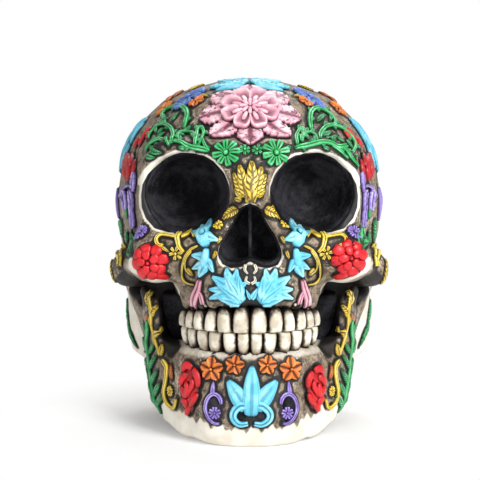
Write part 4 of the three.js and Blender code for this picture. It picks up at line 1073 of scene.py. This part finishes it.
# Dome. Fine sprays and florets, as small as those beside the forehead dahlia, that carry the
# pattern over the top and round the back, which the photograph doesn't show. Cast, glued, painted.
# Places on the dome are millimetres outward and back, and at the back outward and up.
spray_stem = [(1.1, 1.5, (8, 29), (17, 30), (26, 36), (29, 46), (23, 56))]
spray_leaves = [
    (2.0, 1.4, (11, 29), (17, 37)), (2.0, 1.4, (19, 31), (30, 31)), (2.0, 1.4, (24, 34), (20, 43)),
    (2.0, 1.4, (28, 40), (38, 39)), (2.0, 1.4, (29, 46), (22, 50)), (2.0, 1.4, (28, 50), (37, 54)),
    (2.0, 1.4, (23, 56), (15, 62))]
back_leaves = [
    (2.2, 1.4, (8, 87), (20, 78)), (2.0, 1.4, (18, 80), (31, 78)), (1.8, 1.4, (22, 86), (33, 93)),
    (1.9, 1.4, (3, 85), (4, 72))]
dome_floret_place = (8, 51)
dome_star_place = (44, 37)
dome_rosette_place = (0, 40)
back_star_place = (29, 133)
back_floret_place = (36, 112)
for side, at, hand in sides():
    over = outward(from_top, hand)
    behind = outward(from_back, hand)
    ornament("dome_spray_" + side, "green", lay(stem, over, spray_stem) + lay(leaf, over, spray_leaves))
    ornament("dome_floret_" + side, "purple", flower(
        over(*dome_floret_place), radius=4.6, count=8, rise=1.4, width=1.3, inner=0.2))
    for name, spot in (("dome_star_", over(*dome_star_place)), ("back_star_", behind(*back_star_place))):
        ornament(name + side, "orange", flower(
            spot, radius=4.6, count=5, rise=1.5, flat=star, width=1.9, turn=90, inner=0.04))
    ornament("back_floret_" + side, "blue", flower(
        behind(*back_floret_place), radius=4.8, count=8, rise=1.4, width=1.4, inner=0.2))
    ornament("back_spray_" + side, "gold", lay(leaf, behind, back_leaves))
ornament("dome_rosette", "gold", flower(
    from_top(*dome_rosette_place), radius=6.6, count=8, rise=1.6, width=1.8, turn=22, inner=0.2))

# Painted hollows. Black lacquer brushed thinly on the bone inside the lily's loops and the
# purple drops, so that these open reliefs stand out against it.
lacquer_coat = 0.28
drop_hollow = [(3.4, lacquer_coat, (213, 394), (213, 408), (215, 424))]
lily_hollows = [(3.2, lacquer_coat, (236, 414), (249, 414)), (3.2, lacquer_coat, (266, 414), (253, 414))]
hollows = lay(leaf, seen_at, lily_hollows)
for side, at, hand in sides():
    hollows += lay(leaf, at, drop_hollow)
painted = join(hollows)
painted.name = "painted_hollows"
painted.data.materials.clear()
painted.data.materials.append(black_lacquer)
settle(painted, "black_lacquer")
for flat in patterns:
    bpy.data.objects.remove(flat)

# Painted shade darkens the pockets behind the cheeks and under the braincase, and the nape is painted paler,
# a painted light.
# Antique wash. Brown glaze brushed over the bone between the reliefs and left black in the
# crevices beside them, then wiped off the socket rims, the cheek edges, the gums and the chin.
# The outlines are pixels of the picture, and other places are millimetres.
face_columns = 499
socket = [
    (141, 196), (142.3, 184.7), (148, 173.6), (159, 163.5), (174.7, 156.8), (190.4, 154), (203.8, 155.2),
    (213.9, 161.3), (221.7, 171.3), (226.6, 182.5), (228, 191.5), (225, 204.9), (219.5, 215),
    (208.3, 222.8), (194.9, 230.6), (181.5, 233.3), (168, 232.4), (154.6, 228.4), (145.7, 218.3),
    (141.6, 207.1)]
nose = [
    (250, 202), (258, 211), (266, 224), (273, 236), (279, 248), (281.5, 257), (278, 265), (268, 268.5),
    (258, 267), (250, 261), (243, 267), (231, 268.5), (222, 264), (219, 256), (221, 248), (226, 238),
    (234, 225), (241, 212)]
pocket = [
    (157, 280), (172, 282), (180, 290), (183, 303), (181, 318), (177, 334), (184, 352), (178, 364),
    (167, 357), (161, 338), (158, 310)]
notch = [
    (116, 276), (124, 268), (140, 276), (152, 282), (150, 300), (144, 309), (136, 300), (126, 292),
    (112, 286)]
cheek_edge = [
    (116, 262), (126, 256), (136, 258), (138, 268), (148, 276), (166, 279), (176, 284), (184, 298),
    (178, 300), (168, 286), (150, 282), (134, 274), (118, 270)]
lip_gap = [(241, 270), (259, 270), (259, 283), (256, 289), (250, 285), (244, 289), (241, 283)]
lip_cleft = [(243, 292), (250, 299), (257, 292), (255, 305), (250, 310), (246, 305)]
gum_arc = [(221, 308), (226, 302), (235, 300), (243, 303), (248, 309), (240, 312), (228, 312)]
face_middle = 250
openings_window = (130, 140, 370, 285)
lip_window = (215, 262, 285, 315)
broad_rim_aside, broad_rim_above = 55, 185
cheek_aside, cheek_top, cheek_bottom = 70, 240, 295
black_edge = 5
relief_reach = 0.02
tooth_reach = 0.004


def across_face(outline):
    return [(face_columns - x, y) for x, y in outline]


def clamp(value):
    return min(1, max(0, value))


def smooth(low, high, value):
    k = clamp((value - low) / (high - low))
    return k * k * (3 - 2 * k)


def in_picture(point):
    """The pixel of the picture where a point of the skull shows."""
    away = point - look_from
    scale = pixels_per_unit / away.dot(look_ahead)
    return picture_middle + scale * away.x, picture_middle - scale * away.dot(look_up)


def depth_in(outline, x, y):
    """How far a pixel lies inside a drawn outline, in pixels; below 0 outside it."""
    near, inside = 1e9, False
    for (ax, ay), (bx, by) in zip(outline, outline[1:] + outline[:1]):
        if (ay > y) != (by > y) and x < ax + (y - ay) * (bx - ax) / (by - ay):
            inside = not inside
        dx, dy = bx - ax, by - ay
        k = clamp(((x - ax) * dx + (y - ay) * dy) / (dx * dx + dy * dy))
        near = min(near, math.hypot(x - ax - k * dx, y - ay - k * dy))
    return near if inside else -near


openings = [socket, across_face(socket), nose]
patches = [lip_gap, lip_cleft, gum_arc, across_face(gum_arc)]
cheek_edges = [cheek_edge, across_face(cheek_edge)]
# The pockets behind the cheeks and the notches under the arches take painted shade, fading in towards the
# back.
pocket_front, notch_front, pocket_back = -60, -46, -2
pocket_low, pocket_high = 24, 87
shades = [(pocket, pocket_front), (across_face(pocket), pocket_front),
          (notch, notch_front), (across_face(notch), notch_front)]


def within(window, px, py):
    left, top, right, bottom = window
    return left < px < right and top < py < bottom


def rim_at(y, px, py):
    """How many pixels a place of the cranium lies outside the nearest opening; below 0 inside."""
    rim = 40.0
    rims_back = -25
    if y < rims_back and within(openings_window, px, py):
        for outline in openings:
            inside = depth_in(outline, px, py)
            if abs(inside) < abs(rim) or inside > 0:
                rim = -inside
    return rim


def black_at(y, px, py, rim):
    """How much of a place of the cranium is black: inside the openings, and in the lip's hollows."""
    dark = clamp(0.5 - rim / black_edge)
    lip_back = -60
    if y < lip_back and within(lip_window, px, py):
        for outline in patches:
            dark = max(dark, clamp(0.5 + depth_in(outline, px, py) / black_edge))
    return dark


def shade_at(bone, x, y, z, px, py):
    """How much painted shade lies in the pockets behind the cheeks and under the braincase, where shadow
    falls, along with the dark wash there.
    """
    shade = 0.0
    if pocket_front < y < pocket_back and pocket_low < z < pocket_high:
        for outline, front in shades:
            if y > front:
                deep = smooth(front, front + 9, y) * (1 - smooth(pocket_back - 10, pocket_back, y))
                shade = max(shade, deep * smooth(-6, 6, depth_in(outline, px, py)))
    # Painted shade under the braincase, behind the jaw.
    base_front, base_half_width = -50, 50
    if bone == cranium and y > base_front and abs(x) < base_half_width:
        underneath = 1 - smooth(76, 84, z)
        shade = max(shade, underneath * (1 - smooth(-25, 5, y)))
    return shade


def brown_on_cranium(x, y, z, px, py, rim, relief):
    """How much brown glaze is left: the rims are wiped, widest at the sockets' upper outer edge, and the nape
    is thinned out as painted light.
    """
    aside = abs(px - face_middle)
    wide = 2.6 if py < broad_rim_above and aside > broad_rim_aside else 1.0
    behind_rims = smooth(-40, -30, y)
    brown = max(smooth(1.2 * wide, 3.4 * wide, rim), behind_rims)
    face = 1 - smooth(-54, -28, y)
    gum = 1 - smooth(65.7, 69.2, z)
    brown *= 1 - 0.3 * face * gum
    if face and relief > 0.8 and aside > cheek_aside and cheek_top < py < cheek_bottom:
        for outline in cheek_edges:
            brown *= 1 - 0.85 * face * smooth(-4, 4, depth_in(outline, px, py))
    # Painted light: the nape is painted paler, a painted brightness from the white surroundings.
    nape = 1 - smooth(50, 84, z + 4 * math.sin(0.2 * x) + 3 * math.sin(0.31 * y))
    return brown * (1 - 0.7 * nape * smooth(-28, -2, y))


def brown_on_jaw(x, y, z):
    """How much brown glaze is left: the chin's lower edge is wiped in a wavy line, the gum thinly."""
    jaw_body_back = -30
    chin_bare = 9
    chin_curve = 0.005
    if y >= jaw_body_back:
        return 1.0
    bare = chin_bare + chin_curve * x ** 2 + 1.3 * math.sin(0.8 * x) + 0.9 * math.sin(1.9 * x + 1)
    gum = smooth(38.7, 41.7, z) * (1 - smooth(33, 37, abs(x)))
    return smooth(bare - 2.5, bare + 2.5, z) * (1 - 0.5 * gum)


def away_from(tree, point, reach):
    """How many millimetres a point lies from the nearest face, at most the reach."""
    found = tree.find_nearest(point, reach)[3]
    return (reach if found is None else found) / mm


relief_tree = tree_of(*ornaments)
tooth_tree = tree_of(*tooth_rows)
for bone in (cranium, jaw):
    ground = bone.data.attributes.new("ground", "FLOAT", "POINT")
    crevice_and_pocket_shade = bone.data.attributes.new("crevice_and_pocket_shade", "FLOAT", "POINT")
    black = bone.data.attributes.new("black", "FLOAT", "POINT")
    for v in bone.data.vertices:
        x, y, z = v.co / mm
        px, py = in_picture(v.co)
        relief = away_from(relief_tree, v.co, relief_reach)
        gap = away_from(tooth_tree, v.co, tooth_reach)
        if bone == cranium:
            rim = rim_at(y, px, py)
            brown = brown_on_cranium(x, y, z, px, py, rim, relief)
            black.data[v.index].value = black_at(y, px, py, rim)
        else:
            brown = brown_on_jaw(x, y, z)
        ground.data[v.index].value = brown
        # This mark holds the dark wash beside the reliefs and the teeth, and the painted shade in the
        # pockets.
        crevice_and_pocket_shade.data[v.index].value = max(
            (1 - smooth(0.1, 2.5, relief)) * (0.6 + 0.4 * brown),
            1 - smooth(0, 0.8, gap),
            shade_at(bone, x, y, z, px, py))


def bone_paint():
    material, shader, place = new_paint("antique_bone")
    ground = place.mark("ground")
    pits = place.grain(900, detail=5, rough=0.7)
    blot = place.grain(300, detail=5, rough=0.68)
    cloud = place.grain(90, detail=3)
    clean = cloud.fade(0.3, 0.7).tint(colour("dfd7c5"), colour("f1ece0"))
    taupe = (blot * 0.7 + pits * 0.3).fade(0.38, 0.6).tint(colour("3b3029"), colour("97866f"))
    brushed = (pits * 0.6 + cloud * 0.4).fade(0.54, 0.64).tint(taupe, colour("cdc0a8"))
    body = (ground * (blot * 0.9 + 0.55)).fade(0.3, 0.7).tint(clean, brushed)
    # Dark wash in the crevices and painted shade in the pockets, both in the same near-black brown.
    wash_and_painted_shade = (place.mark("crevice_and_pocket_shade") + blot * 0.6 - 0.3).fade(0.3, 0.7).tint(body, colour("17110e"))
    feed(shader.inputs["Base Color"], place.mark("black").fade(0.44, 0.56).tint(wash_and_painted_shade, colour("18171a")))
    feed(shader.inputs["Roughness"], pits * 0.25 + 0.42)
    relief = (pits * 0.6 + blot) * (ground * 0.8 + 0.2)
    feed(shader.inputs["Normal"], relief.bump(strength=0.6, distance=0.0009))
    return material


antique_bone = bone_paint()
for bone in (cranium, jaw):
    bone.data.materials.append(antique_bone)
